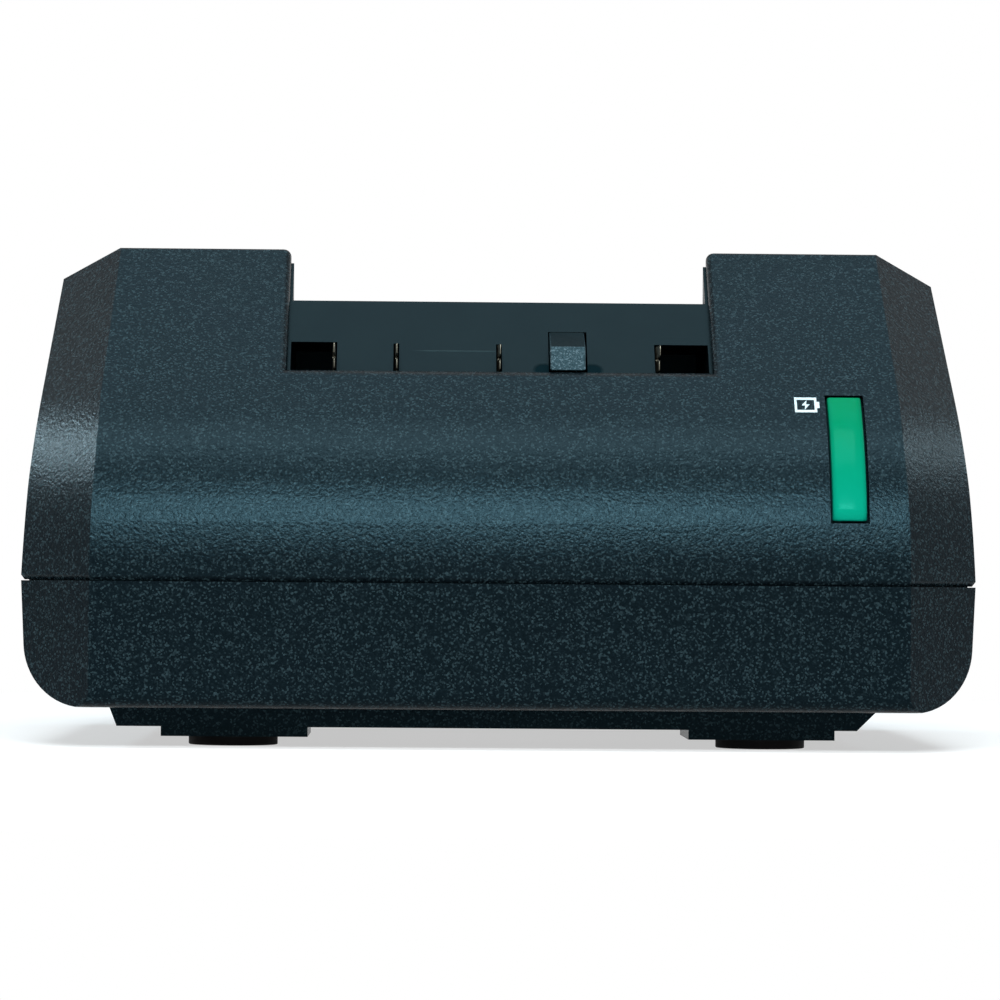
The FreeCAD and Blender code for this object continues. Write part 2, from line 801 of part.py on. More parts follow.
def build_deck():
    low = f"{lip_height} - panel_tuck"
    back = f"{panel} + liner"
    shelf = prism("deck_shelf", "x", [
        (slope_y(low, panel), low),
        (slope_y(low, back), low),
        (slope_y(deck_under, back), deck_under),
        (f"{bay_stop} + liner", deck_under),
        (f"{bay_stop} + liner", beyond),
        (bay_stop, beyond),
        (bay_stop, deck_height),
        (slope_y(deck_height, panel), deck_height),
    ], "-bay_half_width - liner", "bay_half_width + liner")
    liners = [
        block(f"deck_liner_{tag}", reach_out(sign, "bay_half_width", "bay_half_width + liner"),
              ("0", f"{bay_stop} + liner"), (low, beyond))
        for tag, sign in (("left", -1), ("right", 1))
    ]
    outer_x = "bay_half_width + liner"
    slots_x = {
        "left": (f"-({outer_x})", "-slot_inner_left + slot_wall", "-bay_half_width", "-slot_inner_left"),
        "right": ("slot_inner_right - slot_wall", outer_x, "slot_inner_right", "bay_half_width"),
    }
    tubes, hollows = [], []
    for tag, (x_low, x_high, room_low, room_high) in slots_x.items():
        tubes.append(block(f"slot_tube_{tag}", (x_low, x_high), ("0", f"{slot_end} + slot_wall"),
                           (f"{slot_floor} - slot_wall", f"{slot_top} + slot_wall")))
        hollows.append(block(f"slot_room_{tag}", (room_low, room_high), ("-wall", slot_end),
                             (slot_floor, slot_top)))
    guide = block("key_guide", ("key_left - key_fit - guide_wall", f"{key_right} + key_fit + guide_wall"),
                  ("0", guide_end),
                  (f"{key_low} - key_fit - guide_wall", f"{key_top} + key_fit + guide_wall"))
    perch = block("switch_perch", ("key_left - key_fit - guide_wall", f"{key_right} + key_fit + guide_wall"),
                  (f"{guide_end} - guide_wall", f"{switch_front} + switch_length"),
                  (f"{key_low} - key_fit - guide_wall", f"{key_low} - key_fit"))
    room = block("key_room", ("key_left - key_fit", f"{key_right} + key_fit"), ("-wall", spring_end),
                 (f"{key_low} - key_fit", f"{key_top} + key_fit"))
    stem_hole = rod("stem_hole", "stem_radius + key_fit", "4 * guide_wall",
                    "key_left + key_width / 2", f"{guide_end} - 2 * guide_wall",
                    f"{key_low} + key_height / 2", "y")
    slits = [
        block(f"slit_{name}", (f"{x} - blade_thickness / 2 - blade_fit",
                               f"{x} + blade_thickness / 2 + blade_fit"),
              ("-wall", f"{slot_end} + 2 * slot_wall"),
              (slot_floor, f"{blade_low} + blade_height + blade_fit"))
        for name, x in blades.items()
    ]
    lugs = [
        block(f"deck_lug_{i}", reach_out(side, "bay_half_width + liner / 2", f"{lug_x} + lug_radius"),
              (f"{y} - lug_radius", f"{y} + lug_radius"), (f"{lug_top} - lug_thickness", lug_top))
        for i, (side, y) in enumerate((s, y) for y in (lug_front, lug_rear) for s in (-1, 1))
    ]
    lug_holes = [rod(f"lug_hole_{i}", "small_screw_radius + head_fit / 2", "3 * lug_thickness", x, y,
                     f"{lug_top} - 2 * lug_thickness") for i, (x, y) in enumerate(lug_spots)]
    whole = joined("deck_whole", [shelf, guide, perch] + liners + tubes + lugs)
    side = side_prism("deck_room", panel)
    kept = shared("deck_trimmed", [whole, side])
    node("bay_deck", cut("bay_deck_body", kept, hollows + [room, stem_hole] + slits + lug_holes))


# Contact blades stand edge-on in front of the panel and run back to the riser board

def build_contacts():
    for name, x in blades.items():
        strip = block(f"{name}_strip", (f"{x} - blade_thickness / 2", f"{x} + blade_thickness / 2"),
                      (blade_front, riser_front), (blade_low, f"{blade_low} + blade_height"))
        node(name, strip)
    x_low = "-slot_inner_left + slot_wall + seat_fit"
    x_high = "key_left - key_fit - guide_wall - seat_fit"
    body = block("terminal_body", (x_low, x_high), (block_front, f"{block_front} + block_length"),
                 (f"{slot_floor} - slot_wall", f"{deck_under} - ledge_fit"))
    slots = [
        block(f"terminal_slot_{name}", (f"{blades[name]} - blade_thickness / 2 - ledge_fit / 2",
                                        f"{blades[name]} + blade_thickness / 2 + ledge_fit / 2"),
              (f"{block_front} - wall", f"{block_front} + block_length + wall"),
              (f"{blade_low} - ledge_fit / 2", f"{blade_low} + blade_height + ledge_fit / 2"))
        for name in ("data_blade", "sensor_blade")
    ]
    node("terminal_block", cut("terminal_block_body", body, slots))


# Seat key: a grained nose that the pack pushes back, on a square shank with a round stem

def build_key():
    shank = prism("key_shank", "x", [
        (key_front, key_low),
        (key_rear, key_low),
        (key_rear, key_top),
        (f"{key_front} + key_ramp_run + key_slant_run", key_top),
        (f"{key_front} + key_ramp_run", f"{key_low} + key_ramp_rise"),
    ], "key_left", key_right)
    centre_x, centre_z = "key_left + key_width / 2", f"{key_low} + key_height / 2"
    stem = rod("key_stem", "stem_radius", f"{guide_end} + stem_overrun - {key_rear} + guide_wall",
               centre_x, f"{key_rear} - guide_wall", centre_z, "y")
    node("seat_key", joined("seat_key_body", [shank, stem]))
    outer = rod("spring_outer", "spring_radius", f"{spring_end} - {key_rear} - 2 * spring_fit",
                centre_x, f"{key_rear} + spring_fit", centre_z, "y")
    inner = rod("spring_inner", "spring_radius - spring_wire", f"{spring_end} - {key_rear} + 2 * wall",
                centre_x, f"{key_rear} - wall", centre_z, "y")
    node("key_spring", cut("key_spring_body", outer, [inner]))
    switch = block("switch_case", ("key_left - key_fit - guide_wall", f"{key_right} + key_fit + guide_wall"),
                   (switch_front, f"{switch_front} + switch_length"),
                   (f"{key_low} - key_fit", f"{key_low} - key_fit + switch_height"))
    pins = [
        block(f"switch_pin_{i}", (f"{centre_x} + ({i} - 1) * 3 * blade_thickness - blade_thickness / 2",
                                  f"{centre_x} + ({i} - 1) * 3 * blade_thickness + blade_thickness / 2"),
              (f"{switch_front} + switch_length / 2", riser_front),
              (f"{key_low} + key_fit", f"{key_low} + key_fit + 2 * blade_thickness"))
        for i in range(3)
    ]
    node("seat_switch", joined("seat_switch_body", [switch] + pins))


# Light bar: a lens that follows the front, held by a flange behind the cover

def build_light():
    right = f"{light_left} + light_width"
    face = side_prism("lens_face", "-light_proud")
    face_back = side_prism("lens_back", "wall + seat_fit / 2")
    lens_box = block("lens_box", (light_left, right), ("-wall", f"{slope_y(light_high)} + 2 * wall"),
                     (light_low, light_high))
    lens = cut("lens_front", shared("lens_block", [face, lens_box]), [face_back])
    flange_face = side_prism("flange_face", "wall + seat_fit / 2")
    flange_back = side_prism("flange_back", "wall + light_flange_thickness")
    flange_box = block("flange_box", (f"{light_left} - light_flange", f"{right} + light_flange"),
                       ("0", f"{slope_y(light_high)} + 4 * wall"),
                       (f"{light_low} - light_flange", f"{light_high} + light_flange"))
    flange = cut("lens_flange", shared("flange_block", [flange_face, flange_box]), [flange_back])
    node("light_bar", joined("light_bar_body", [lens, flange]))
    middle = f"{light_left} + light_width / 2"
    guide_face = side_prism("guide_face", "wall + light_flange_thickness + ledge_fit")
    guide_box = block("guide_box", (f"{middle} - guide_width / 2", f"{middle} + guide_width / 2"),
                      ("0", "guide_rear"), ("guide_foot", f"{light_high} - light_flange"))
    node("light_guide", shared("light_guide_body", [guide_face, guide_box]))
    die = block("led_case", (f"{middle} - guide_width / 2", f"{middle} + guide_width / 2"),
                ("board_front + seat_fit", "guide_rear"), (board_top, "guide_foot - ledge_fit"))
    node("status_led", die)


# Circuit board on its posts, with an insulating sheet under it

def board_holes(radius, z, tag):
    return [rod(f"{tag}_{i}", radius, "8 * board_thickness", x, y, z)
            for i, (x, y) in enumerate(board_spots)]


def build_boards():
    plan = [
        (f"-{board_side}", "board_front"),
        (board_side, "board_front"),
        (board_side, board_rear),
        (f"-{board_side}", board_rear),
    ]
    plate = padded("board_plate", plan, "board_thickness", z="board_level")
    hole_radius = "small_screw_radius + head_fit / 2"
    hole_low = "board_level - 4 * board_thickness"
    holes = board_holes(hole_radius, hole_low, "board_hole")
    node("circuit_board", cut("circuit_board_body", plate, holes))
    film = padded("sheet_film", plan, "sheet_thickness", z="board_level - sheet_thickness")
    punched = board_holes(hole_radius, hole_low, "sheet_hole")
    node("insulating_sheet", cut("insulating_sheet_body", film, punched))
    riser_foot = f"{board_top} + blade_thickness"
    riser_top = f"{deck_height} - riser_drop"
    riser = block("riser_plate", ("-riser_left", "riser_right"),
                  (riser_front, f"{riser_front} + board_thickness"), (riser_foot, riser_top))
    node("riser_board", riser)
    middle = f"{riser_front} + board_thickness / 2"
    socket = block("socket_case", ("-riser_left", "riser_right"),
                   (f"{middle} - socket_length / 2", f"{middle} + socket_length / 2"),
                   (board_top, f"{board_top} + socket_height"))
    groove = block("socket_groove", ("-riser_left - wall", "riser_right + wall"),
                   (f"{riser_front} - ledge_fit", f"{riser_front} + board_thickness + ledge_fit"),
                   (riser_foot, riser_top))
    node("riser_socket", cut("riser_socket_body", socket, [groove]))


# Parts on the board, each standing on its top face


def on_board(name, x, y, length, width, height, lift="0"):
    return block(name, (f"{x} - {length} / 2", f"{x} + {length} / 2"),
                 (f"{y} - {width} / 2", f"{y} + {width} / 2"),
                 (f"{board_top} + {lift}", f"{board_top} + {lift} + {height}"))


def build_transformer():
    seat = "bobbin_height"
    core = on_board("core_block", "core_x", "core_y", "core_width", "core_depth", "core_height", seat)
    window_width = "((core_width - core_pole) / 2 - core_limb)"
    windows = [
        on_board(f"core_window_{tag}", f"core_x + {sign} * (core_pole + {window_width}) / 2", "core_y",
                 window_width, "2 * core_depth", "(core_height - 2 * core_limb)", f"{seat} + core_limb")
        for tag, sign in (("left", -1), ("right", 1))
    ]
    node("transformer_core", cut("transformer_core_body", core, windows))
    turns_height = "(core_height - 2 * core_limb - 2 * winding_fit)"
    lift = f"{seat} + core_limb + winding_fit"
    outer = on_board("winding_outer", "core_x", "core_y",
                     f"(core_pole + 2 * {window_width} - 2 * winding_fit)",
                     "(core_depth + 2 * winding_reach)", turns_height, lift)
    inner = on_board("winding_inner", "core_x", "core_y", "(core_pole + 2 * winding_fit)",
                     "(core_depth + 2 * winding_fit)", "2 * core_height", "0")
    node("transformer_winding", cut("transformer_winding_body", outer, [inner]))
    foot = on_board("bobbin_foot", "core_x", "core_y", "core_width", "(core_depth + 2 * winding_reach)",
                    "bobbin_height")
    posts = [
        on_board(f"bobbin_post_{tag}", "core_x",
                 f"core_y + {sign} * (core_depth / 2 + winding_reach / 2 + wall)",
                 "core_pole", "wall", "(core_limb + winding_fit)", "bobbin_height")
        for tag, sign in (("front", -1), ("rear", 1))
    ]
    node("transformer_bobbin", joined("transformer_bobbin_body", [foot] + posts))


def can(name, radius, height, x, y):
    return turned(name, [
        ("0", "0"),
        (radius, "0"),
        (radius, height, "can_round"),
        ("0", height),
    ], x, y, board_top)


def heat_sink(name, x):
    plate = block(f"{name}_plate", (f"{x} - sink_plate / 2", f"{x} + sink_plate / 2"),
                  ("sink_front", "sink_front + sink_length"), (board_top, f"{board_top} + sink_height"))
    fins = []
    for i in range(int(number("sink_fin_count"))):
        step = "(sink_length - sink_fin_thickness) / (sink_fin_count - 1)"
        y = f"sink_front + sink_fin_thickness / 2 + {i} * {step}"
        fins.append(block(f"{name}_fin_{i}", (f"{x} - sink_plate / 2 - sink_fin", f"{x} - sink_plate / 4"),
                          (f"{y} - sink_fin_thickness / 2", f"{y} + sink_fin_thickness / 2"),
                          (board_top, f"{board_top} + sink_height")))
    return node(name, joined(f"{name}_body", [plate] + fins))


def package(name, x):
    # A flat three-legged package that bears on the plain face of its sink
    face = f"{x} + sink_plate / 2"
    far = f"{face} + package_thickness"
    y = "sink_front + sink_length / 2"
    case = block(f"{name}_case", (face, far), (f"{y} - package_length / 2", f"{y} + package_length / 2"),
                 (f"{board_top} + package_leg", f"{board_top} + package_leg + package_height"))
    middle = f"{face} + package_thickness / 2"
    rows = [f"{y} + ({i} - 1) * leg_spacing" for i in range(3)]
    legs = [
        block(f"{name}_leg_{i}", (f"{middle} - leg_width / 2", f"{middle} + leg_width / 2"),
              (f"{row} - leg_width / 2", f"{row} + leg_width / 2"),
              (board_top, f"{board_top} + package_leg + leg_width"))
        for i, row in enumerate(rows)
    ]
    node(name, joined(f"{name}_body", [case] + legs))


def build_components():
    node("bulk_capacitor", can("bulk_can", "bulk_radius", "bulk_height", "bulk_x", "bulk_y"))
    node("output_capacitors", group("output_can_group", [
        can(f"output_can_{i}", "output_radius", "output_height", f"{board_side} - output_inset",
            f"output_front + {i} * output_pitch")
        for i in range(3)
    ]))
    first_sink_x = f"sink_inset - {board_side}"
    heat_sink("primary_heat_sink", first_sink_x)
    package("switching_transistor", first_sink_x)
    second_sink_x = f"{board_side} - second_sink_inset"
    heat_sink("secondary_heat_sink", second_sink_x)
    package("output_rectifier", second_sink_x)
    ring = doc.addObject("Part::Torus", "choke_ring")
    bind(ring, "Radius1", "choke_radius")
    bind(ring, "Radius2", "choke_wire")
    ring.Placement.Rotation = FreeCAD.Rotation(FreeCAD.Vector(0, 1, 0), 90)
    put(ring, f"{board_side} - choke_side", f"{board_rear} - choke_inset",
        f"{board_top} + choke_radius + choke_wire + ledge_fit")
    node("filter_choke", ring)
    film_y = f"{board_rear} - film_inset"
    node("film_capacitor", on_board("film_case", "film_x", film_y, "film_length", "film_width",
                                    "film_height"))
    fuse_x = f"fuse_side - {board_side}"
    fuse_y = f"{board_rear} - fuse_inset"
    fuse_z = f"{board_top} + fuse_radius"
    barrel = rod("fuse_barrel", "fuse_radius - ledge_fit", "fuse_length", f"{fuse_x} - fuse_length / 2",
                 fuse_y, fuse_z, "x")
    caps = [
        rod(f"fuse_cap_{tag}", "fuse_radius", "fuse_cap", start, fuse_y, fuse_z, "x")
        for tag, start in (("left", f"{fuse_x} - fuse_length / 2"),
                           ("right", f"{fuse_x} + fuse_length / 2 - fuse_cap"))
    ]
    node("mains_fuse", joined("mains_fuse_body", [barrel] + caps))
    node("bridge_rectifier", on_board("bridge_case", f"bridge_side - {board_side}", "bridge_y",
                                      "bridge_length", "bridge_width", "bridge_height"))
    node("inlet_terminal", on_board("inlet_case", "gland_x + inlet_shift", f"{board_rear} - inlet_inset",
                                    "inlet_length", "inlet_width", "inlet_height"))
    node("control_chip", on_board("chip_case", "chip_x", f"{board_rear} - chip_inset",
                                  "chip_length", "chip_width", "chip_height"))


# Gland in the rear wall: a bush with a flange outside and a collar inside, and the clamp behind it

def build_gland():
    wall_inner = "(body_depth - wall)"
    length = "(gland_flange_thickness + wall + 2 * gland_fit + gland_collar_thickness + gland_tail)"
    outer_face = "(body_depth + gland_flange_thickness + gland_fit)"
    inner_face = f"({outer_face} - {length})"
    # The half outline is drawn along Z and then laid along Y, outer face at the top
    bush = turned("bush_turned", [
        ("gland_bore", "0"),
        ("gland_neck", "0"),
        ("gland_neck", "gland_tail"),
        ("gland_collar", "gland_tail"),
        ("gland_collar", "gland_tail + gland_collar_thickness"),
        ("gland_neck", "gland_tail + gland_collar_thickness"),
        ("gland_neck", f"{length} - gland_flange_thickness"),
        ("gland_flange", f"{length} - gland_flange_thickness"),
        ("gland_flange", length, "can_round / 2"),
        ("gland_bore", length),
    ], "gland_x", inner_face, "gland_level", FreeCAD.Rotation(FreeCAD.Vector(1, 0, 0), -90))
    node("cord_gland", bush)
    reach = "(clamp_spread + clamp_width / 2)"
    bar = block("clamp_bar", (f"gland_x - {reach}", f"gland_x + {reach}"),
                (f"{clamp_y} - clamp_width / 2", f"{clamp_y} + clamp_width / 2"),
                (clamp_low, f"{clamp_low} + clamp_thickness"))
    holes = [rod(f"clamp_hole_{i}", "small_screw_radius + head_fit / 2", "4 * clamp_thickness", x, clamp_y,
                 f"{clamp_low} - clamp_thickness") for i, x in enumerate(clamp_spots)]
    node("cord_clamp", cut("cord_clamp_body", bar, holes))


# Feet, plate and fasteners

def build_feet():
    for tag, sign, y in foot_spots:
        node(f"foot_{tag}", turned(f"foot_{tag}_turned", [
            ("0", "0"),
            ("foot_radius", "0", "foot_edge_round"),
            ("foot_radius", "pad_bottom + foot_recess"),
            ("0", "pad_bottom + foot_recess"),
        ], f"{sign} * ({pad_offset} + foot_shift)", y, "0"))
    node("rating_plate", padded("rating_plate_pad", [
        ("-label_width / 2", "-label_length / 2", "can_round"),
        ("label_width / 2", "-label_length / 2", "can_round"),
        ("label_width / 2", "label_length / 2", "can_round"),
        ("-label_width / 2", "label_length / 2", "can_round"),
    ], "label_thickness", y="body_depth / 2", z="plate_bottom - label_thickness"))


def build_fasteners():
    node("case_screws", group("case_screw_group", [
        screw(f"case_screw_{i}", "case_screw_radius", "case_screw_length", "case_head_radius",
              "case_head_height", x, y, "case_head_level + case_head_height")
        for i, (x, y) in enumerate(case_spots)
    ]))
    node("board_screws", group("board_screw_group", [
        screw(f"board_screw_{i}", "small_screw_radius", "small_screw_length", "small_head_radius",
              "small_head_height", x, y, board_top, up=False)
        for i, (x, y) in enumerate(board_spots)
    ]))
    node("clamp_screws", group("clamp_screw_group", [
        screw(f"clamp_screw_{i}", "small_screw_radius", "small_screw_length", "small_head_radius",
              "small_head_height", x, clamp_y, f"{clamp_low} + clamp_thickness", up=False)
        for i, x in enumerate(clamp_spots)
    ]))
    node("deck_screws", group("deck_screw_group", [
        screw(f"deck_screw_{i}", "small_screw_radius", "small_screw_length", "small_head_radius",
              "small_head_height", x, y, f"{lug_top} - lug_thickness")
        for i, (x, y) in enumerate(lug_spots)
    ]))


build_base()
build_cover()
build_deck()
build_contacts()
build_key()
build_light()
build_boards()
build_transformer()
build_components()
build_gland()
build_feet()
build_fasteners()


doc.recompute()
failed = [o.Name for o in doc.Objects if "Invalid" in o.State or "Error" in o.State]
if failed:
    raise RuntimeError(f"objects failed: {failed}")
os.makedirs("parts", exist_ok=True)
for item in nodes:
    shape = item.Shape
    if shape.isNull() or not shape.isValid():
        raise RuntimeError(f"{item.Label} has no valid shape")
    shape.exportStep(f"parts/{item.Label}.step")
    box = shape.BoundBox
    print(item.Label, len(shape.Solids), round(shape.Volume), [round(v, 2) for v in (
        box.XMin, box.XMax, box.YMin, box.YMax, box.ZMin, box.ZMax)])
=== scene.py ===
import bpy
import bmesh
import json
import math
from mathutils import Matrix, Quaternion, Vector

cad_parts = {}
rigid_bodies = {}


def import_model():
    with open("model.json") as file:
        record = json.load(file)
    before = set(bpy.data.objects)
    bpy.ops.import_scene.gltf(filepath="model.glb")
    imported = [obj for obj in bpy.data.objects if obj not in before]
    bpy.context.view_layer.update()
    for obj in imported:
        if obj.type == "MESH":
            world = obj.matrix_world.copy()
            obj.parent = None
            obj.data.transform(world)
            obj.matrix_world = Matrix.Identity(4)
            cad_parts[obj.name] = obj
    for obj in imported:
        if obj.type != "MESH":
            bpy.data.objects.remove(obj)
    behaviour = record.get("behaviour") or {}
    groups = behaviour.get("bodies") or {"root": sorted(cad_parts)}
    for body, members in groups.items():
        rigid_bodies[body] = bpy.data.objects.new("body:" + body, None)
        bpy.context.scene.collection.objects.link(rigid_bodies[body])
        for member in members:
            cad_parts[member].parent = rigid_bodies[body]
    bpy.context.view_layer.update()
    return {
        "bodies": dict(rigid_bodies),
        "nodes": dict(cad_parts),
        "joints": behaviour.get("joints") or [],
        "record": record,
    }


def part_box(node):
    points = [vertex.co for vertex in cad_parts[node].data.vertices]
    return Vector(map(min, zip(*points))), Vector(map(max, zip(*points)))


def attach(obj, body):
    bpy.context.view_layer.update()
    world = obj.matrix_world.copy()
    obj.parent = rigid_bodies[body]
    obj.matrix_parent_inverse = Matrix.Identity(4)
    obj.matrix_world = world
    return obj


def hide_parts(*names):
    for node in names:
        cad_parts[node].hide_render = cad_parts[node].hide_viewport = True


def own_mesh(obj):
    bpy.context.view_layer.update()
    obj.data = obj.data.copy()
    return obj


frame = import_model()
nodes = frame["nodes"]
print("charger: frame loaded,", len(nodes), "nodes")

mm = 0.001

# The housing's own lines, in millimetres. The front rolls back from plumb into a 45 degree slope
housing = {
    "front": -69.3,
    "slopeFoot": 51.6,
    "slope": 45.0,
    "curve": 45.0,
}


def frontDepth(z):
    # How far back the front stands at a height, in millimetres
    foot, radius = housing["slopeFoot"], housing["curve"]
    reach = radius * math.tan(math.radians(housing["slope"] / 2))
    if z <= foot - reach:
        return housing["front"]
    if z >= foot + reach * math.cos(math.radians(housing["slope"])):
        return housing["front"] + (z - foot)
    return housing["front"] + radius - math.sqrt(radius ** 2 - (z - foot + reach) ** 2)


# Working by hand: select, shape, finish

def letGo():
    if bpy.context.object and bpy.context.object.mode != "OBJECT":
        bpy.ops.object.mode_set(mode="OBJECT")
    bpy.ops.object.select_all(action="DESELECT")


def takeUp(piece):
    letGo()
    piece.select_set(True)
    bpy.context.view_layer.objects.active = piece
    return piece


def nameIt(piece, name):
    piece.name = name
    piece.data.name = name
    return piece


def addBox(name, x, y, z):
    # A box from its low and high sides, in millimetres
    letGo()
    sides = (x, y, z)
    bpy.ops.mesh.primitive_cube_add(size=1, location=[(a + b) / 2 * mm for a, b in sides])
    piece = nameIt(bpy.context.object, name)
    bpy.ops.transform.resize(value=[(b - a) * mm for a, b in sides])
    bpy.ops.object.transform_apply(location=True, rotation=True, scale=True)
    return piece


def addRound(name, radius, low, high, x, y, sides=48, along="z"):
    # A drum from its low end to its high end, in millimetres, along one of the axes
    letGo()
    middle = (low + high) / 2
    place = {"z": (x, y, middle), "y": (x, middle, y), "x": (middle, x, y)}[along]
    turn = {"z": (0, 0, 0), "y": (math.radians(90), 0, 0), "x": (0, math.radians(90), 0)}[along]
    bpy.ops.mesh.primitive_cylinder_add(vertices=sides, radius=radius * mm, depth=(high - low) * mm,
                                        location=[v * mm for v in place], rotation=turn)
    piece = nameIt(bpy.context.object, name)
    bpy.ops.object.transform_apply(location=True, rotation=True, scale=True)
    return piece


def pick(piece, kind, test):
    # Edit mode, with only the faces, edges or corners that pass the test selected
    takeUp(piece)
    bpy.ops.object.mode_set(mode="EDIT")
    bpy.ops.mesh.select_mode(type=kind)
    bpy.ops.mesh.select_all(action="DESELECT")
    mesh = bmesh.from_edit_mesh(piece.data)
    chosen = 0
    for part in {"FACE": mesh.faces, "EDGE": mesh.edges, "VERT": mesh.verts}[kind]:
        if kind == "FACE":
            good = test(part.calc_center_median() / mm, part.normal)
        elif kind == "EDGE":
            good = test(*[corner.co / mm for corner in part.verts])
        else:
            good = test(part.co / mm)
        if good:
            part.select_set(True)
            chosen += 1
    mesh.select_flush_mode()
    bmesh.update_edit_mesh(piece.data)
    return chosen


def modify(piece, kind, **settings):
    takeUp(piece)
    modifier = piece.modifiers.new(kind.title(), kind)
    for key, value in settings.items():
        setattr(modifier, key, value)
    bpy.ops.object.modifier_apply(modifier=modifier.name)
    return piece


def soften(piece, width, segments=2, angle=30):
    return modify(piece, "BEVEL", width=width * mm, segments=segments, limit_method="ANGLE",
                  angle_limit=math.radians(angle), use_clamp_overlap=True, miter_outer="MITER_ARC")


def mergedCopy(node, name):
    # A CAD mesh is loose triangles, so its copy is welded and its flat faces are joined up
    piece = bpy.data.objects.new(name, nodes[node].data.copy())
    bpy.context.scene.collection.objects.link(piece)
    nameIt(takeUp(piece), name)
    bpy.ops.object.mode_set(mode="EDIT")
    bpy.ops.mesh.select_all(action="SELECT")
    bpy.ops.mesh.remove_doubles(threshold=0.002 * mm)
    bpy.ops.mesh.dissolve_limited(angle_limit=math.radians(0.5))
    letGo()
    return piece


def everyPart(centre, normal):
    return True


def split(piece, axis, places, test=everyPart):
    # Cuts faces along planes across one axis, so that no face runs round a hole
    for place in places:
        pick(piece, "FACE", test)
        bpy.ops.mesh.bisect(plane_co=[v * place * mm for v in axis], plane_no=axis)
    letGo()


def insetBy(width, rise=0.0):
    # Insets the selected faces and then moves them up, in millimetres
    bpy.ops.mesh.inset(thickness=width * mm, depth=0)
    if rise:
        bpy.ops.transform.translate(value=(0, 0, rise * mm))


def cutOut(piece, tool):
    modify(piece, "BOOLEAN", object=tool, operation="DIFFERENCE")
    bpy.data.objects.remove(tool)


def joinUp(name, pieces):
    letGo()
    for piece in pieces:
        piece.select_set(True)
    bpy.context.view_layer.objects.active = pieces[0]
    bpy.ops.object.join()
    return nameIt(bpy.context.object, name)


def complete(piece, body, finish, replaced=(), smooth=30):
    takeUp(piece)
    bpy.ops.object.transform_apply(location=True, rotation=True, scale=True)
    bpy.ops.object.shade_smooth_by_angle(angle=math.radians(smooth))
    modify(piece, "WEIGHTED_NORMAL", keep_sharp=True, weight=100)
    piece.data.materials.clear()
    piece.data.materials.append(finish)
    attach(piece, body)
    if replaced:
        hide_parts(*replaced)
    letGo()
    return piece


# Finishes: a wire is one socket's value, and sums on wires add their own nodes

class Wire:
    def __init__(self, finish, socket):
        self.finish = finish
        self.socket = socket

    def sum(self, operation, other, swapped=False):
        pair = (other, self) if swapped else (self, other)
        return self.finish.node("ShaderNodeMath", {"operation": operation}, {0: pair[0], 1: pair[1]})

    def __add__(self, other):
        return self.sum("ADD", other)

    def __radd__(self, other):
        return self.sum("ADD", other, True)

    def __sub__(self, other):
        return self.sum("SUBTRACT", other)

    def __rsub__(self, other):
        return self.sum("SUBTRACT", other, True)

    def __mul__(self, other):
        return self.sum("MULTIPLY", other)

    def __rmul__(self, other):
        return self.sum("MULTIPLY", other, True)

    def __truediv__(self, other):
        return self.sum("DIVIDE", other)

    def __rtruediv__(self, other):
        return self.sum("DIVIDE", other, True)

    def size(self):
        return self.finish.node("ShaderNodeMath", {"operation": "ABSOLUTE"}, {0: self})

    def __lt__(self, other):
        return self.sum("LESS_THAN", other)


class Finish:
    def __init__(self, name, **fixed):
        self.material = bpy.data.materials.new(name)
        self.material.use_nodes = True
        self.tree = self.material.node_tree
        self.shader = self.tree.nodes["Principled BSDF"]
        for key, value in fixed.items():
            self.shader.inputs[key.replace("_", " ")].default_value = value
        self.place = self.node("ShaderNodeTexCoord", {}, {}, "Object")

    def node(self, kind, settings, sockets, out=0):
        made = self.tree.nodes.new(kind)
        for key, value in settings.items():
            setattr(made, key, value)
        for key, value in sockets.items():
            if isinstance(value, Wire):
                self.tree.links.new(value.socket, made.inputs[key])
            else:
                made.inputs[key].default_value = value
        return Wire(self, made.outputs[out])

    def axis(self, letter):
        return self.node("ShaderNodeSeparateXYZ", {}, {"Vector": self.place}, letter)

    def noise(self, size, detail=2.0, roughness=0.5, place=None):
        # Clouds whose blobs are about this many millimetres across
        return self.node("ShaderNodeTexNoise", {}, {
            "Vector": place or self.place, "Scale": 1 / (size * mm), "Detail": detail, "Roughness": roughness,
        }, "Fac")

    def cells(self, size, out="Distance"):
        return self.node("ShaderNodeTexVoronoi", {"feature": "F1"}, {
            "Vector": self.place, "Scale": 1 / (size * mm),
        }, out)

    def between(self, value, low, high, start=0.0, end=1.0):
        return self.node("ShaderNodeMapRange", {}, {
            "Value": value, "From Min": low, "From Max": high, "To Min": start, "To Max": end,
        })

    def blend(self, share, first, second):
        # Two colours, or two wires of colour, mixed by a share from 0 to 1
        sockets = {0: share}
        for key, colour in ((6, first), (7, second)):
            sockets[key] = colour if isinstance(colour, Wire) else (*colour, 1)
        return self.node("ShaderNodeMix", {"data_type": "RGBA"}, sockets, 2)

    def relief(self, height, depth, strength=1.0):
        sockets = {"Height": height, "Distance": depth * mm, "Strength": strength}
        return self.node("ShaderNodeBump", {}, sockets)

    def feed(self, **wires):
        for key, value in wires.items():
            self.tree.links.new(value.socket, self.shader.inputs[key.replace("_", " ")])
        return self.material


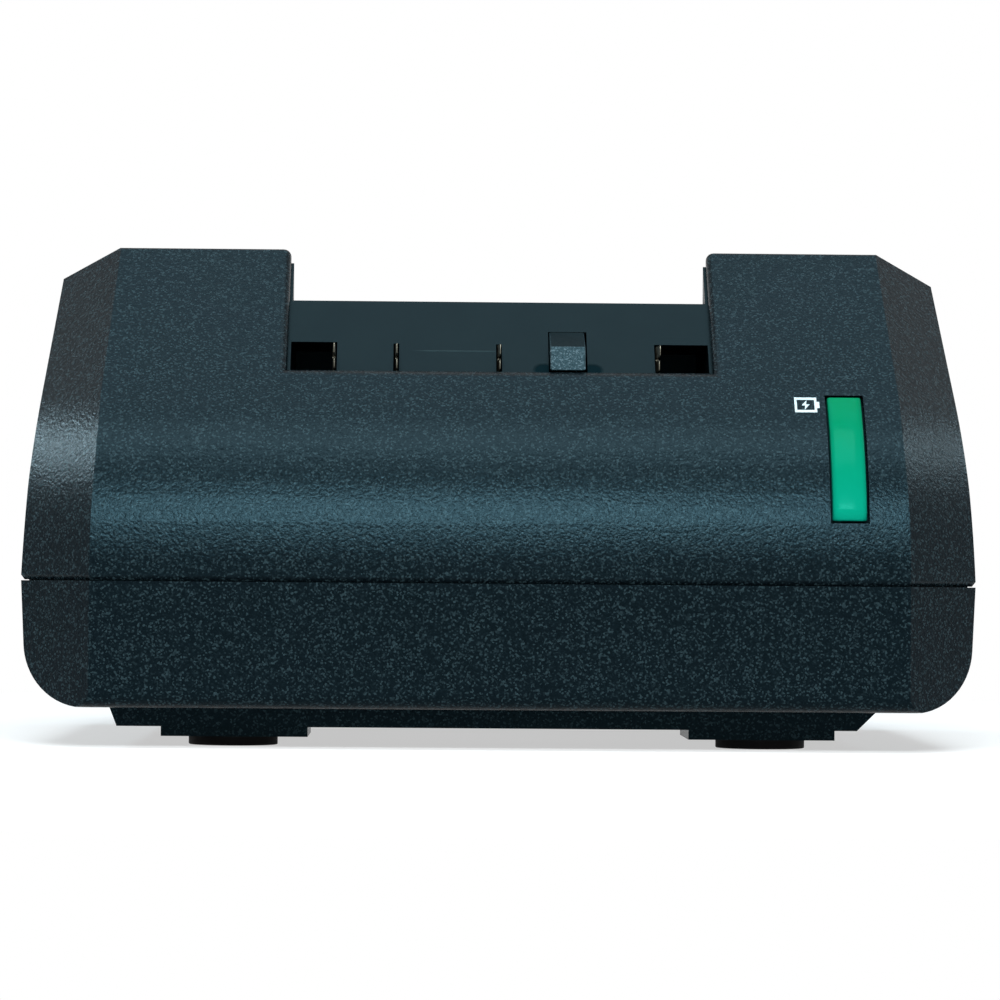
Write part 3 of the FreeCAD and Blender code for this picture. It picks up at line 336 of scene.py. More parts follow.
def grainedPlastic(name, look):
    # Spark-eroded plastic: shallow pits that catch the lamps one by one, with bright specks painted into the
    # colour as glints
    finish = Finish(name, Specular_IOR_Level=look["gloss"], Specular_Tint=(*look["sheen"], 1))
    fine = finish.noise(look["grain"], 2, 0.6)
    speck = finish.node("ShaderNodeSeparateColor", {}, {
        "Color": finish.cells(look["grain"] * look["speckShare"], "Color"),
    }, "Red")
    cloud = finish.noise(14, 3)
    colour = finish.blend(finish.between(fine, 0.3, 0.7), look["deep"], look["bright"])
    colour = finish.blend(finish.between(cloud, 0.35, 0.65, 0, 0.3), colour, look["deep"])
    # Painted glints: random specks of the grain get a bright colour
    colour = finish.blend(finish.between(speck, 0.7, 1.0), colour, look["paintedGlint"])
    rough = finish.between(fine, 0.3, 0.7, look["rough"] - 0.05, look["rough"] + 0.05)
    return finish.feed(Base_Color=colour, Roughness=rough, Normal=finish.relief(fine, look["relief"]))


coverLook = {
    "grain": 0.6,
    "speckShare": 0.55,
    "relief": 0.1,
    "rough": 0.24,
    "gloss": 0.07,
    "sheen": (0.38, 0.8, 1.0),
    "deep": (0.0012, 0.0024, 0.0034),
    "bright": (0.0022, 0.0042, 0.0056),
    "paintedGlint": (0.014, 0.024, 0.028),
}
coverPlastic = grainedPlastic("coverPlastic", coverLook)
basePlastic = grainedPlastic("basePlastic", dict(coverLook, gloss=0.06))
# A lighter copy of the cover's plastic for the key's nose: painted light on the face towards the lamps
keyPlastic = grainedPlastic("keyPlastic", dict(coverLook, grain=0.4, relief=0.08, deep=(0.008, 0.017, 0.021),
                                               bright=(0.022, 0.04, 0.048), paintedGlint=(0.06, 0.09, 0.105)))


def smoothPlastic(name, look):
    sheen = look.get("sheen", (1, 1, 1))
    finish = Finish(name, Specular_IOR_Level=look["gloss"], Specular_Tint=(*sheen, 1))
    cloud = finish.noise(9, 4)
    haze = finish.noise(0.5, 2)
    colour = finish.blend(finish.between(cloud, 0.3, 0.7), look["deep"], look["bright"])
    rough = finish.between(haze, 0.3, 0.7, look["rough"] - 0.04, look["rough"] + 0.04)
    return finish.feed(Base_Color=colour, Roughness=rough, Normal=finish.relief(haze, 0.006, 0.5))


def ovalShadowDent(finish, x, z, width, height):
    # One inside an oval on the sloping panel, fading to nothing at its rim
    across = (finish.axis("X") / mm - x) / width
    up = (finish.axis("Z") / mm - z) / height
    return finish.between(across * across + up * up, 0.45, 1.0, 1.0, 0.0)


def panelPlastic(name, look):
    # The bay's smooth plastic, with painted shadows of the key over two shallow dents beside it, and a
    # painted highlight along a faint ridge
    finish = Finish(name, Specular_IOR_Level=look["gloss"], Specular_Tint=(*look["sheen"], 1))
    cloud = finish.noise(9, 4)
    haze = finish.noise(0.5, 2)
    keyShadowDent = 0.0
    for side in (-1, 1):
        x = look["keyMiddle"] + side * look["shadowDentReach"]
        keyShadowDent = ovalShadowDent(finish, x, look["shadowDentLevel"], *look["shadowDentSize"]) + keyShadowDent
    keyShadowDent = keyShadowDent * (finish.axis("Y") / mm < look["shadowDentRear"])
    # A faint ridge left of the key, with a painted highlight: a thin pale band of colour along it
    ridge = finish.between((finish.axis("Z") / mm - look["glintRidgeLevel"]).size(), 0.0, 0.16, 1.0, 0.0)
    ridge = ridge * finish.between((finish.axis("X") / mm - look["glintRidgeX"]).size(), 6.0, 9.0, 1.0, 0.0)
    colour = finish.blend(finish.between(cloud, 0.3, 0.7), look["deep"], look["bright"])
    # Painted shadow: in the two ovals beside the key the colour is darkened and made partly metallic, where
    # the key shades the panel
    colour = finish.blend(keyShadowDent * 0.9, colour, look["shade"])
    colour = finish.blend(ridge * 0.3, colour, look["glint"])
    rough = finish.between(haze, 0.3, 0.7, look["rough"] - 0.04, look["rough"] + 0.04)
    bumps = finish.relief(haze * 0.01 + ridge * 0.05 - keyShadowDent * 0.15, 1.0, 0.5)
    return finish.feed(Base_Color=colour, Metallic=keyShadowDent * 0.75, Roughness=rough, Normal=bumps)


deckPlastic = panelPlastic("deckPlastic", {
    "gloss": 0.07, "sheen": (0.4, 0.85, 1.0), "rough": 0.34,
    "deep": (0.0012, 0.0026, 0.0034), "bright": (0.0018, 0.0036, 0.0044),
    "shade": (0.0002, 0.0006, 0.0008), "glint": (0.03, 0.055, 0.06),
    "keyMiddle": 13.05, "shadowDentReach": 4.6, "shadowDentSize": (2.3, 1.5), "shadowDentLevel": 71.9,
    "shadowDentRear": -40.0,
    "glintRidgeLevel": 75.6, "glintRidgeX": -8.0,
})


def lensPlastic(name, look):
    # Dyed clear plastic that glows a little: deeper at the top, paler towards the light pipe, where the
    # pipe's glow is also painted into its colour
    finish = Finish(name, Specular_IOR_Level=look["gloss"], Specular_Tint=(*look["sheen"], 1),
                    Emission_Strength=1.0)
    rise = finish.between(finish.axis("Z") / mm, look["low"], look["high"])
    edge = finish.between((finish.axis("X") / mm - look["middle"]).size(), look["half"] - 0.9, look["half"])
    cloud = finish.noise(2.5, 2)
    colour = finish.blend(rise, look["pale"], look["deep"])
    colour = finish.blend(edge * 0.45, colour, look["rim"])
    colour = finish.blend(finish.between(cloud, 0.3, 0.7, 0, 0.12), colour, look["pale"])
    rough = finish.between(cloud, 0.3, 0.7, 0.12, 0.18)
    glow = finish.blend(rise, look["glowLow"], look["glowHigh"])
    return finish.feed(Base_Color=colour, Roughness=rough, Emission_Color=glow)


lensGreen = lensPlastic("lensGreen", {
    "gloss": 0.03, "sheen": (0.15, 1.0, 0.85),
    "low": 43.2, "high": 66.7, "middle": 64.95, "half": 3.2, "deep": (0.0003, 0.13, 0.05),
    "pale": (0.001, 0.165, 0.102), "rim": (0.0003, 0.07, 0.04), "glowLow": (0.0, 0.035, 0.03),
    "glowHigh": (0.0, 0.012, 0.006),
})


def rubber(name, tone):
    finish = Finish(name, Specular_IOR_Level=0.12)
    dust = finish.noise(0.8, 4, 0.65)
    colour = finish.blend(finish.between(dust, 0.35, 0.75), tone, tuple(v * 2.2 for v in tone))
    rough = finish.between(dust, 0.3, 0.7, 0.62, 0.8)
    return finish.feed(Base_Color=colour, Roughness=rough, Normal=finish.relief(dust, 0.03, 0.6))


footRubber = rubber("footRubber", (0.0035, 0.0035, 0.0038))
glandRubber = rubber("glandRubber", (0.006, 0.0065, 0.007))


def metal(name, tone, rough, brush=(1, 1, 1), spot=0.0):
    # Drawn or cut metal: streaks along the work, a little tarnish
    finish = Finish(name, Metallic=1.0)
    along = finish.node("ShaderNodeMapping", {}, {"Vector": finish.place, "Scale": brush})
    streak = finish.noise(0.25, 3, 0.6, along)
    stain = finish.noise(3.0, 3)
    colour = finish.blend(finish.between(streak, 0.3, 0.7), tuple(v * 0.8 for v in tone), tone)
    colour = finish.blend(finish.between(stain, 0.55, 0.75, 0, spot), colour, tuple(v * 0.4 for v in tone))
    shine = finish.between(streak, 0.3, 0.7, rough - 0.07, rough + 0.07)
    return finish.feed(Base_Color=colour, Roughness=shine, Normal=finish.relief(streak, 0.01, 0.5))


# The contacts' metal is toned very dark, a painted shade for the slots they sit in
contactMetal = metal("contactMetal", (0.13, 0.125, 0.1), 0.36, (1, 0.08, 1), 0.5)
screwSteel = metal("screwSteel", (0.5, 0.5, 0.52), 0.35, (1, 1, 1), 0.5)
springSteel = metal("springSteel", (0.55, 0.56, 0.58), 0.3)
sinkAluminium = metal("sinkAluminium", (0.72, 0.73, 0.75), 0.38, (1, 1, 0.05))
legTin = metal("legTin", (0.66, 0.66, 0.64), 0.34)

plateFilm = smoothPlastic("plateFilm", {
    "gloss": 0.3, "deep": (0.014, 0.016, 0.018), "bright": (0.019, 0.021, 0.023), "rough": 0.42,
})
insulatorBlack = smoothPlastic("insulatorBlack", {
    "gloss": 0.25, "deep": (0.006, 0.006, 0.007), "bright": (0.011, 0.011, 0.012), "rough": 0.46,
})
keySmooth = smoothPlastic("keySmooth", {
    "gloss": 0.03, "sheen": (0.4, 0.85, 1.0), "rough": 0.6,
    "deep": (0.0022, 0.0055, 0.007), "bright": (0.0035, 0.008, 0.01),
})
whiteMark = smoothPlastic("whiteMark", {
    "gloss": 0.1, "deep": (0.36, 0.43, 0.45), "bright": (0.42, 0.5, 0.52), "rough": 0.5,
})
bobbinPlastic = smoothPlastic("bobbinPlastic", {
    "gloss": 0.3, "deep": (0.3, 0.25, 0.17), "bright": (0.36, 0.3, 0.2), "rough": 0.44,
})
filmYellow = smoothPlastic("filmYellow", {
    "gloss": 0.4, "deep": (0.5, 0.3, 0.03), "bright": (0.62, 0.38, 0.05), "rough": 0.3,
})
sheetFilm = smoothPlastic("sheetFilm", {
    "gloss": 0.3, "deep": (0.55, 0.52, 0.42), "bright": (0.66, 0.63, 0.52), "rough": 0.4,
})
ferrite = smoothPlastic("ferrite", {
    "gloss": 0.3, "deep": (0.018, 0.018, 0.02), "bright": (0.034, 0.034, 0.037), "rough": 0.55,
})
sleeveBlue = smoothPlastic("sleeveBlue", {
    "gloss": 0.5, "deep": (0.008, 0.012, 0.03), "bright": (0.014, 0.02, 0.045), "rough": 0.22,
})
clearPipe = smoothPlastic("clearPipe", {
    "gloss": 0.5, "deep": (0.55, 0.68, 0.62), "bright": (0.66, 0.78, 0.72), "rough": 0.15,
})
fuseGlass = smoothPlastic("fuseGlass", {
    "gloss": 0.5, "deep": (0.5, 0.52, 0.5), "bright": (0.66, 0.68, 0.66), "rough": 0.12,
})


def woundCopper(name, tone, pitch, letter):
    # Enamelled wire laid side by side: one ridge for each turn, with painted shade in the creases between the
    # turns
    finish = Finish(name, Metallic=0.85, Coat_Weight=0.5, Coat_Roughness=0.15)
    phase = finish.axis(letter) / mm * (2 * math.pi / pitch)
    turns = finish.node("ShaderNodeMath", {"operation": "SINE"}, {0: phase}) * 0.5 + 0.5
    stray = finish.noise(1.4, 2)
    colour = finish.blend(turns, tuple(v * 0.35 for v in tone), tone)
    colour = finish.blend(finish.between(stray, 0.4, 0.7, 0, 0.3), colour, tuple(v * 0.6 for v in tone))
    rough = finish.between(stray, 0.3, 0.7, 0.28, 0.4)
    return finish.feed(Base_Color=colour, Roughness=rough, Normal=finish.relief(turns, 0.12, 0.9))


windingCopper = woundCopper("windingCopper", (0.75, 0.32, 0.12), 0.55, "Z")
chokeCopper = metal("chokeCopper", (0.72, 0.3, 0.1), 0.3)


def circuitLaminate(name):
    # Green solder mask over copper tracks that run in steps, with tinned pads
    finish = Finish(name, Specular_IOR_Level=0.4, Coat_Weight=0.3, Coat_Roughness=0.2)
    lanes = finish.node("ShaderNodeTexBrick", {"offset": 0.35, "squash": 0.6, "squash_frequency": 3}, {
        "Vector": finish.place, "Scale": 1 / (9 * mm), "Mortar Size": 0.045, "Mortar Smooth": 0.1,
        "Color1": (0, 0, 0, 1), "Color2": (0, 0, 0, 1), "Mortar": (1, 1, 1, 1),
    }, "Fac")
    pads = finish.cells(5.0)
    cloud = finish.noise(4, 3)
    colour = finish.blend(finish.between(cloud, 0.3, 0.7), (0.012, 0.085, 0.03), (0.018, 0.11, 0.04))
    colour = finish.blend(lanes * 0.6, colour, (0.045, 0.2, 0.07))
    colour = finish.blend(finish.between(pads, 0.1, 0.14, 1, 0), colour, (0.5, 0.5, 0.48))
    rough = finish.between(cloud, 0.3, 0.7, 0.3, 0.42)
    return finish.feed(Base_Color=colour, Roughness=rough, Normal=finish.relief(lanes, 0.05, 0.6))


laminate = circuitLaminate("laminate")
print("charger: finishes ready")


# Housing

shell = {
    "edge": 0.3,
    "deckEdge": 0.2,
    "shoulderRound": 1.5,
    "notchHalf": 40.6,
    "crest": 96.2,
    "crestDepth": -24.2,
    "topReach": 0.25,
    "frontReach": 0.08,
    "fall": math.tan(math.radians(4.15)),
    "flare": math.tan(math.radians(3.9)),
    "liner": (39.9, 42.2),
    "linerLow": 85.0,
    "wallLines": (-42.05, -40.05, 40.05, 42.05),
    "crossLines": (-24.11, 49.2),
    "bossLines": (-24.11, -7.3, 13.7, 34.7, 49.2),
    "coverLines": (-78.0, -66.0, -54.0, -47.45, 0.0, 47.45, 54.0, 66.0, 78.0),
    "ventPitch": 5.6,
    "ventCount": 11,
    "ventWall": 60.0,
    "baseLines": (-50.4, 0.0, 50.4),
}


def flareBay(piece):
    # The bay's side walls open out towards the rear, to lead the pack in
    low, high = shell["liner"]
    for corner in piece.data.vertices:
        place = corner.co / mm
        back = place.y - shell["crestDepth"]
        if low < abs(place.x) < high and back > 0 and place.z > shell["linerLow"]:
            corner.co.x += math.copysign(back * shell["flare"] * mm, place.x)


def onSkin(place):
    top = shell["crest"] - (place.y - shell["crestDepth"]) * shell["fall"]
    return place.z > top - shell["topReach"] or abs(place.y - frontDepth(place.z)) < shell["frontReach"]


def buildCover():
    cover = mergedCopy("top_cover", "coverShell")

    def shoulderEdge(a, b):
        onNotch = all(abs(abs(p.x) - shell["notchHalf"]) < 0.03 for p in (a, b))
        return onNotch and onSkin(a) and onSkin(b)

    print("charger: shoulder edges", pick(cover, "EDGE", shoulderEdge))
    bpy.ops.mesh.bevel(offset=shell["shoulderRound"] * mm, segments=5, affect="EDGES", clamp_overlap=False)
    split(cover, (1, 0, 0), shell["coverLines"])
    split(cover, (0, 1, 0), shell["bossLines"])
    first = -(shell["ventCount"] - 1) / 2
    slots = [(first + i) * shell["ventPitch"] for i in range(shell["ventCount"])]
    split(cover, (1, 0, 0), slots, lambda centre, normal: centre.y > shell["ventWall"])
    flareBay(cover)
    complete(soften(cover, shell["edge"]), "housing", coverPlastic, ["top_cover"])


def buildBase():
    base = mergedCopy("base_shell", "baseShell")
    split(base, (1, 0, 0), shell["baseLines"])
    soften(base, shell["edge"])
    complete(base, "housing", basePlastic, ["base_shell"])


def buildDeck():
    deck = mergedCopy("bay_deck", "bayDeck")
    split(deck, (1, 0, 0), shell["wallLines"])
    split(deck, (0, 1, 0), shell["crossLines"])
    flareBay(deck)
    complete(soften(deck, shell["deckEdge"]), "housing", deckPlastic, ["bay_deck"])


buildCover()
buildBase()
buildDeck()
print("charger: housing done")


# Seat key and contact blades

blade = {
    "pieces": {"positive_blade": ("positiveBlade", -31.8), "data_blade": ("dataBlade", -19.85),
               "sensor_blade": ("sensorBlade", -0.15), "negative_blade": ("negativeBlade", 30.3)},
    "half": 0.28,
    "fork": -40.0,
    "rear": 10.7,
    "low": 71.7,
    "high": 76.8,
    "slot": 0.4,
    "shift": 0.14,
    "fingers": {1: -48.8, -1: -46.2},
    "round": 0.05,
}


def buildBlade(node, name, x):
    # A strip split into two sprung fingers, the upper one longer, thinned at their tips
    piece = addBox(name, (x - blade["half"], x + blade["half"]), (blade["fork"], blade["rear"]),
                   (blade["low"], blade["high"]))
    middle = (blade["low"] + blade["high"]) / 2
    split(piece, (0, 0, 1), (middle - blade["slot"] / 2, middle + blade["slot"] / 2))
    for side, front in blade["fingers"].items():
        pick(piece, "FACE", lambda centre, normal: normal.y < -0.9 and abs(centre.y - blade["fork"]) < 0.01
             and (centre.z - middle) * side > blade["slot"] / 2)
        reach = (front - blade["fork"]) * mm
        bpy.ops.mesh.extrude_region_move(TRANSFORM_OT_translate={"value": (0, reach * 0.5, 0)})
        bpy.ops.transform.resize(value=(0.5, 1, 0.9))
        bpy.ops.transform.translate(value=(blade["shift"] * mm, 0, 0))
        bpy.ops.mesh.extrude_region_move(TRANSFORM_OT_translate={"value": (0, reach * 0.4, 0)})
        bpy.ops.mesh.extrude_region_move(TRANSFORM_OT_translate={"value": (0, reach * 0.1, 0)})
        bpy.ops.transform.resize(value=(0.6, 1, 0.8))
    soften(piece, blade["round"], 2, 40)
    complete(piece, "housing", contactMetal, [node])


for node, (name, x) in blade["pieces"].items():
    buildBlade(node, name, x)


seatKey = {
    "aside": 0.12,
    "proud": 0.25,
    "round": 0.3,
}


def buildKey():
    # Set a little aside and proud in its opening; its top is smooth and only its nose is grained, and the
    # nose takes a much lighter copy of the cover's plastic than the top, painted light on the face towards
    # the lamps
    key = mergedCopy("seat_key", "seatKey")
    low, high = (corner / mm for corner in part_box("seat_key"))
    for corner in key.data.vertices:
        place = corner.co / mm
        if min(place.x - low.x, high.x - place.x) < 0.02:
            corner.co.x -= seatKey["aside"] * mm
        if high.z - place.z < 0.02:
            corner.co.z += seatKey["proud"] * mm
    soften(key, seatKey["round"], 3)
    complete(key, "key", keyPlastic, ["seat_key"])
    key.data.materials.append(keySmooth)
    for face in key.data.polygons:
        if face.normal.z > 0.85:
            face.material_index = 1


buildKey()
print("charger: blades and key done")


# Light bar and the mark beside it

light = {
    "left": 61.75,
    "right": 68.15,
    "low": 43.2,
    "high": 66.7,
    "crown": 0.55,
    "footTall": 1.7,
    "footDrop": 0.9,
    "thick": 2.4,
    "flange": 1.8,
    "flangeGap": 0.1,
    "flangeThick": 1.25,
    "round": 0.4,
    "flangeRound": 0.2,
}


def layOnFront(piece, raised):
    # Sets each corner back by the front's depth at its height; y 0 is the front's skin
    for corner in piece.data.vertices:
        height = corner.co.z / mm
        corner.co.y = (frontDepth(height) - raised(corner.co / mm)) * mm


def buildLens():
    middle = (light["left"] + light["right"]) / 2
    half = (light["right"] - light["left"]) / 2
    lens = addBox("lightBar", (light["left"], light["right"]), (0, light["thick"]),
                  (light["low"], light["high"]))
    pick(lens, "EDGE", lambda a, b: abs(a.z - b.z) > 1)
    bpy.ops.mesh.subdivide(number_cuts=29)
    pick(lens, "EDGE", lambda a, b: abs(a.x - b.x) > 1)
    bpy.ops.mesh.subdivide(number_cuts=7)
    letGo()

    def crown(place):
        share = min(1.0, abs(place.x - middle) / half)
        foot = max(0.0, 1 - (place.z - light["low"]) / light["footTall"])
        return light["crown"] * (1 - share ** 3) - light["footDrop"] * foot - place.y

    layOnFront(lens, crown)
    soften(lens, light["round"], 3, 50)
    behind = light["thick"] + light["flangeGap"]
    flange = addBox("lensFlange", (light["left"] - light["flange"], light["right"] + light["flange"]),
                    (behind, behind + light["flangeThick"]),
                    (light["low"] - light["flange"], light["high"] + light["flange"]))
    pick(flange, "EDGE", lambda a, b: abs(a.z - b.z) > 1)
    bpy.ops.mesh.subdivide(number_cuts=17)
    letGo()
    layOnFront(flange, lambda place: -place.y)
    soften(flange, light["flangeRound"], 2, 50)
    bar = complete(joinUp("lightBar", [lens, flange]), "housing", lensGreen, ["light_bar"])
    # Painted shade: the flange behind the bar takes the key top's dark plastic, in place of the shadow in the
    # gap round the bar
    bar.data.materials.append(keySmooth)  # the flange is painted out, so that the gap round the bar is dark
    for face in bar.data.polygons:
        centre = face.center / mm
        if centre.y - frontDepth(centre.z) > light["thick"] + 0.02:
            face.material_index = 1


mark = {
    "x": 57.6,
    "z": 65.25,
    "wide": 4.2,
    "tall": 2.9,
    "line": 0.45,
    "nubWide": 0.5,
    "nubHalf": 0.6,
    "bolt": [(0.25, 0.95), (-0.75, -0.1), (-0.1, -0.1), (-0.25, -0.95), (0.75, 0.1), (0.1, 0.1)],
    "proud": 0.03,
    "thick": 0.05,
}


def flatPatch(name, corners):
    # A flat patch in the front's plane, from its corners in millimetres round the mark's middle
    letGo()
    bpy.ops.mesh.primitive_circle_add(vertices=len(corners), radius=1 * mm, fill_type="NGON")
    patch = nameIt(bpy.context.object, name)
    for corner, (across, up) in zip(patch.data.vertices, corners):
        corner.co = ((mark["x"] + across) * mm, 0, (mark["z"] + up) * mm)
    return patch


def buildMark():
    # A plain battery outline with a bolt in it
    wide, tall, line = mark["wide"] / 2, mark["tall"] / 2, mark["line"]
    frame = flatPatch("chargeMark", [(-wide, -tall), (wide, -tall), (wide, tall), (-wide, tall)])
    pick(frame, "FACE", everyPart)
    insetBy(line)
    bpy.ops.mesh.delete(type="FACE")
    end, half = wide + mark["nubWide"], mark["nubHalf"]
    nub = flatPatch("markNub", [(wide, -half), (end, -half), (end, half), (wide, half)])
    bolt = flatPatch("markBolt", mark["bolt"])
    whole = joinUp("chargeMark", [frame, nub, bolt])
    pick(whole, "FACE", everyPart)
    bpy.ops.mesh.quads_convert_to_tris()
    bpy.ops.mesh.subdivide(number_cuts=2)
    bpy.ops.mesh.normals_make_consistent(inside=False)
    letGo()
    layOnFront(whole, lambda place: mark["proud"])
    modify(whole, "SOLIDIFY", thickness=mark["thick"] * mm, offset=0)
    complete(whole, "housing", whiteMark)


buildLens()
buildMark()
print("charger: light bar and mark done")


# Underside: feet, screws and the bare plate

foot = {
    "radius": 8.5,
    "thick": 2.9,
    "round": 0.7 / 3,
    "rings": (1.4, 0.7, 1.6, 0.7, 1.6),
    "grooveWide": 0.7,
    "grooveStep": 0.5,
    "grooveDeep": 0.5,
    "nodes": {"foot_left_front": "footLeftFront", "foot_right_front": "footRightFront",
              "foot_left_rear": "footLeftRear", "foot_right_rear": "footRightRear"},
}


def buildFoot(node, name):
    low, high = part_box(node)
    x, y = (low.x + high.x) / 2 / mm, (low.y + high.y) / 2 / mm
    piece = addRound(name, foot["radius"], 0, foot["thick"], x, y, 64)
    pick(piece, "FACE", lambda centre, normal: normal.z < -0.9)
    for ring in foot["rings"]:
        if ring == foot["grooveWide"]:
            insetBy(ring, foot["grooveDeep"])
            insetBy(foot["grooveStep"], -foot["grooveDeep"])
        else:
            insetBy(ring)
    soften(piece, foot["round"], 2, 40)
    complete(piece, "housing", footRubber, [node])


for node, name in foot["nodes"].items():
    buildFoot(node, name)

screw = {
    "rim": 0.25,
    "sink": 0.15,
    "drive": (0.16, 0.55),
    "driveFloor": 0.45,
    "driveTop": 1.3,
    "core": 0.86,
    "thread": 1.16,
    "pitch": 1.0,
    "round": 0.08,
}


def buildScrew(name, x, y, seat, shank, length, head, thick, up):
    # Head, cross recess and a ridged shank; up says which way the shank runs
    way = 1 if up else -1
    piece = addRound(name, head, min(seat, seat - way * thick), max(seat, seat - way * thick), x, y, 32)
    pick(piece, "FACE", lambda centre, normal: normal.z * way < -0.9)
    insetBy(head * screw["rim"], -way * thick * screw["sink"])
    levels = tuple(sorted(seat - way * thick * screw[key] for key in ("driveTop", "driveFloor")))
    bars = []
    for across, along in (screw["drive"], screw["drive"][::-1]):
        bars.append(addBox("driveBar", (x - head * across, x + head * across),
                           (y - head * along, y + head * along), levels))
    for bar in bars:
        cutOut(piece, bar)
    ends = tuple(sorted((seat - way * 0.01, seat + way * length)))
    rod = addRound("screwShank", shank * screw["core"], *ends, x, y, 20)
    pick(rod, "EDGE", lambda a, b: abs(a.z - b.z) > 1)
    bpy.ops.mesh.subdivide(number_cuts=int(length / screw["pitch"]) * 2)

    def ridge(a, b):
        return abs(a.z - b.z) < 0.01 and int(round((a.z - ends[0]) / screw["pitch"] * 2)) % 2 == 1

    pick(rod, "EDGE", ridge)
    bpy.ops.transform.resize(value=(screw["thread"], screw["thread"], 1), center_override=(x * mm, y * mm, 0))
    letGo()
    return joinUp(name, [piece, rod])


def buildScrews(node, name, spots, *measures):
    whole = joinUp(name, [buildScrew(f"{name}{i}", x, y, *measures) for i, (x, y) in enumerate(spots)])
    soften(whole, screw["round"], 1, 50)
    complete(whole, "housing", screwSteel, [node])


def fourSpots(x, front, rear):
    return [(side * x, y) for y in (front, rear) for side in (-1, 1)]


# Places, then seat, shank radius, length, head radius and head thickness, and whether the shank runs up
buildScrews("case_screws", "caseScrews", fourSpots(78, -45.3, 42.7), 16.4, 1.75, 32, 3.3, 2.4, True)
buildScrews("deck_screws", "deckScrews", fourSpots(47.45, -7.3, 34.7), 77.4, 1.4, 9, 2.7, 1.8, True)
buildScrews("board_screws", "boardScrews", fourSpots(56, -48.8, 42.7), 19.6, 1.4, 9, 2.7, 1.8, False)
buildScrews("clamp_screws", "clampScrews", [(-54, 55.2), (-36, 55.2)], 25.7, 1.4, 9, 2.7, 1.8, False)

plate = soften(mergedCopy("rating_plate", "ratingPlate"), 0.1)
complete(plate, "housing", plateFilm, ["rating_plate"])
gland = soften(mergedCopy("cord_gland", "cordGland"), 0.25)
complete(gland, "housing", glandRubber, ["cord_gland"])
print("charger: underside and rear done")


# Inside

def dress(finish, *names):
    for name in names:
        nodes[name].data.materials.clear()
        nodes[name].data.materials.append(finish)


def placed(piece, along, x=0.0, y=0.0, z=0.0):
    # Lays a piece made round the z axis along another axis, then sets it in its place
    turn = {"z": (0, 0, 0), "y": (math.radians(-90), 0, 0), "x": (0, math.radians(90), 0)}[along]
    takeUp(piece)
    piece.rotation_euler = turn
    piece.location = (x * mm, y * mm, z * mm)
    bpy.ops.object.transform_apply(location=True, rotation=True, scale=True)
    return piece


def addCoil(name, radius, wire, length, turns):
    # Round wire wound up along z from 0, its two ends closed
    letGo()
    bpy.ops.mesh.primitive_circle_add(vertices=10, radius=wire * mm, fill_type="NOTHING")
    coil = nameIt(bpy.context.object, name)
    for corner in coil.data.vertices:
        corner.co = (corner.co.x + radius * mm, 0, corner.co.y + wire * mm)
    pitch = (length - 2 * wire) / turns
    modify(coil, "SCREW", axis="Z", angle=math.radians(360), screw_offset=pitch * mm, iterations=turns,
           steps=28, render_steps=28, use_merge_vertices=True, merge_threshold=0.0001 * mm)
    pick(coil, "EDGE", lambda a, b: False)
    bpy.ops.mesh.select_non_manifold()
    bpy.ops.mesh.fill_holes(sides=0)
    bpy.ops.mesh.select_all(action="SELECT")
    bpy.ops.mesh.remove_doubles(threshold=0.0005 * mm)
    bpy.ops.mesh.normals_make_consistent(inside=False)
    letGo()
    return coil


spring = {
    "radius": 2.55,
    "wire": 0.33,
    "rear": -11.0,
    "front": -25.2,
    "turns": 8,
    "x": 13.05,
    "z": 75.53,
    "keep": 0.79,
}


def buildSpring():
    length = spring["rear"] - spring["front"]
    coil = addCoil("keySpring", spring["radius"], spring["wire"], length, spring["turns"])
    placed(coil, "y", spring["x"], spring["front"], spring["z"])
    complete(coil, "housing", springSteel, ["key_spring"], 60)
    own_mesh(coil)


winding = {
    "turns": 30,
    "pinch": 0.985,
    "pinchHalf": 8.6,
    "coreHalf": (8, 9),
}


def buildWinding():
    # The copper body of the winding, drawn in between its turns
    piece = mergedCopy("transformer_winding", "transformerWinding")
    low, high = (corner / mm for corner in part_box("transformer_winding"))
    middle = (low + high) / 2
    pitch = (high.z - low.z) / winding["turns"]
    split(piece, (0, 0, 1), [low.z + step * pitch / 2 for step in range(1, winding["turns"] * 2)])

    def valley(p):
        outside = abs(p.x - middle.x) > winding["coreHalf"][0] or abs(p.y - middle.y) > winding["coreHalf"][1]
        between = round((p.z - low.z) / pitch * 2) % 2 == 0
        return between and outside and abs(p.z - middle.z) < winding["pinchHalf"]

    pick(piece, "VERT", valley)
    bpy.ops.transform.resize(value=(winding["pinch"], winding["pinch"], 1), center_override=middle * mm)
    complete(piece, "housing", windingCopper, ["transformer_winding"], 20)


choke = {
    "x": 44.0,
    "y": 32.7,
    "z": 32.2,
    "ring": 8.5,
    "thick": 3.2,
    "wire": 0.55,
    "turns": 13,
    "arc": 130,
}


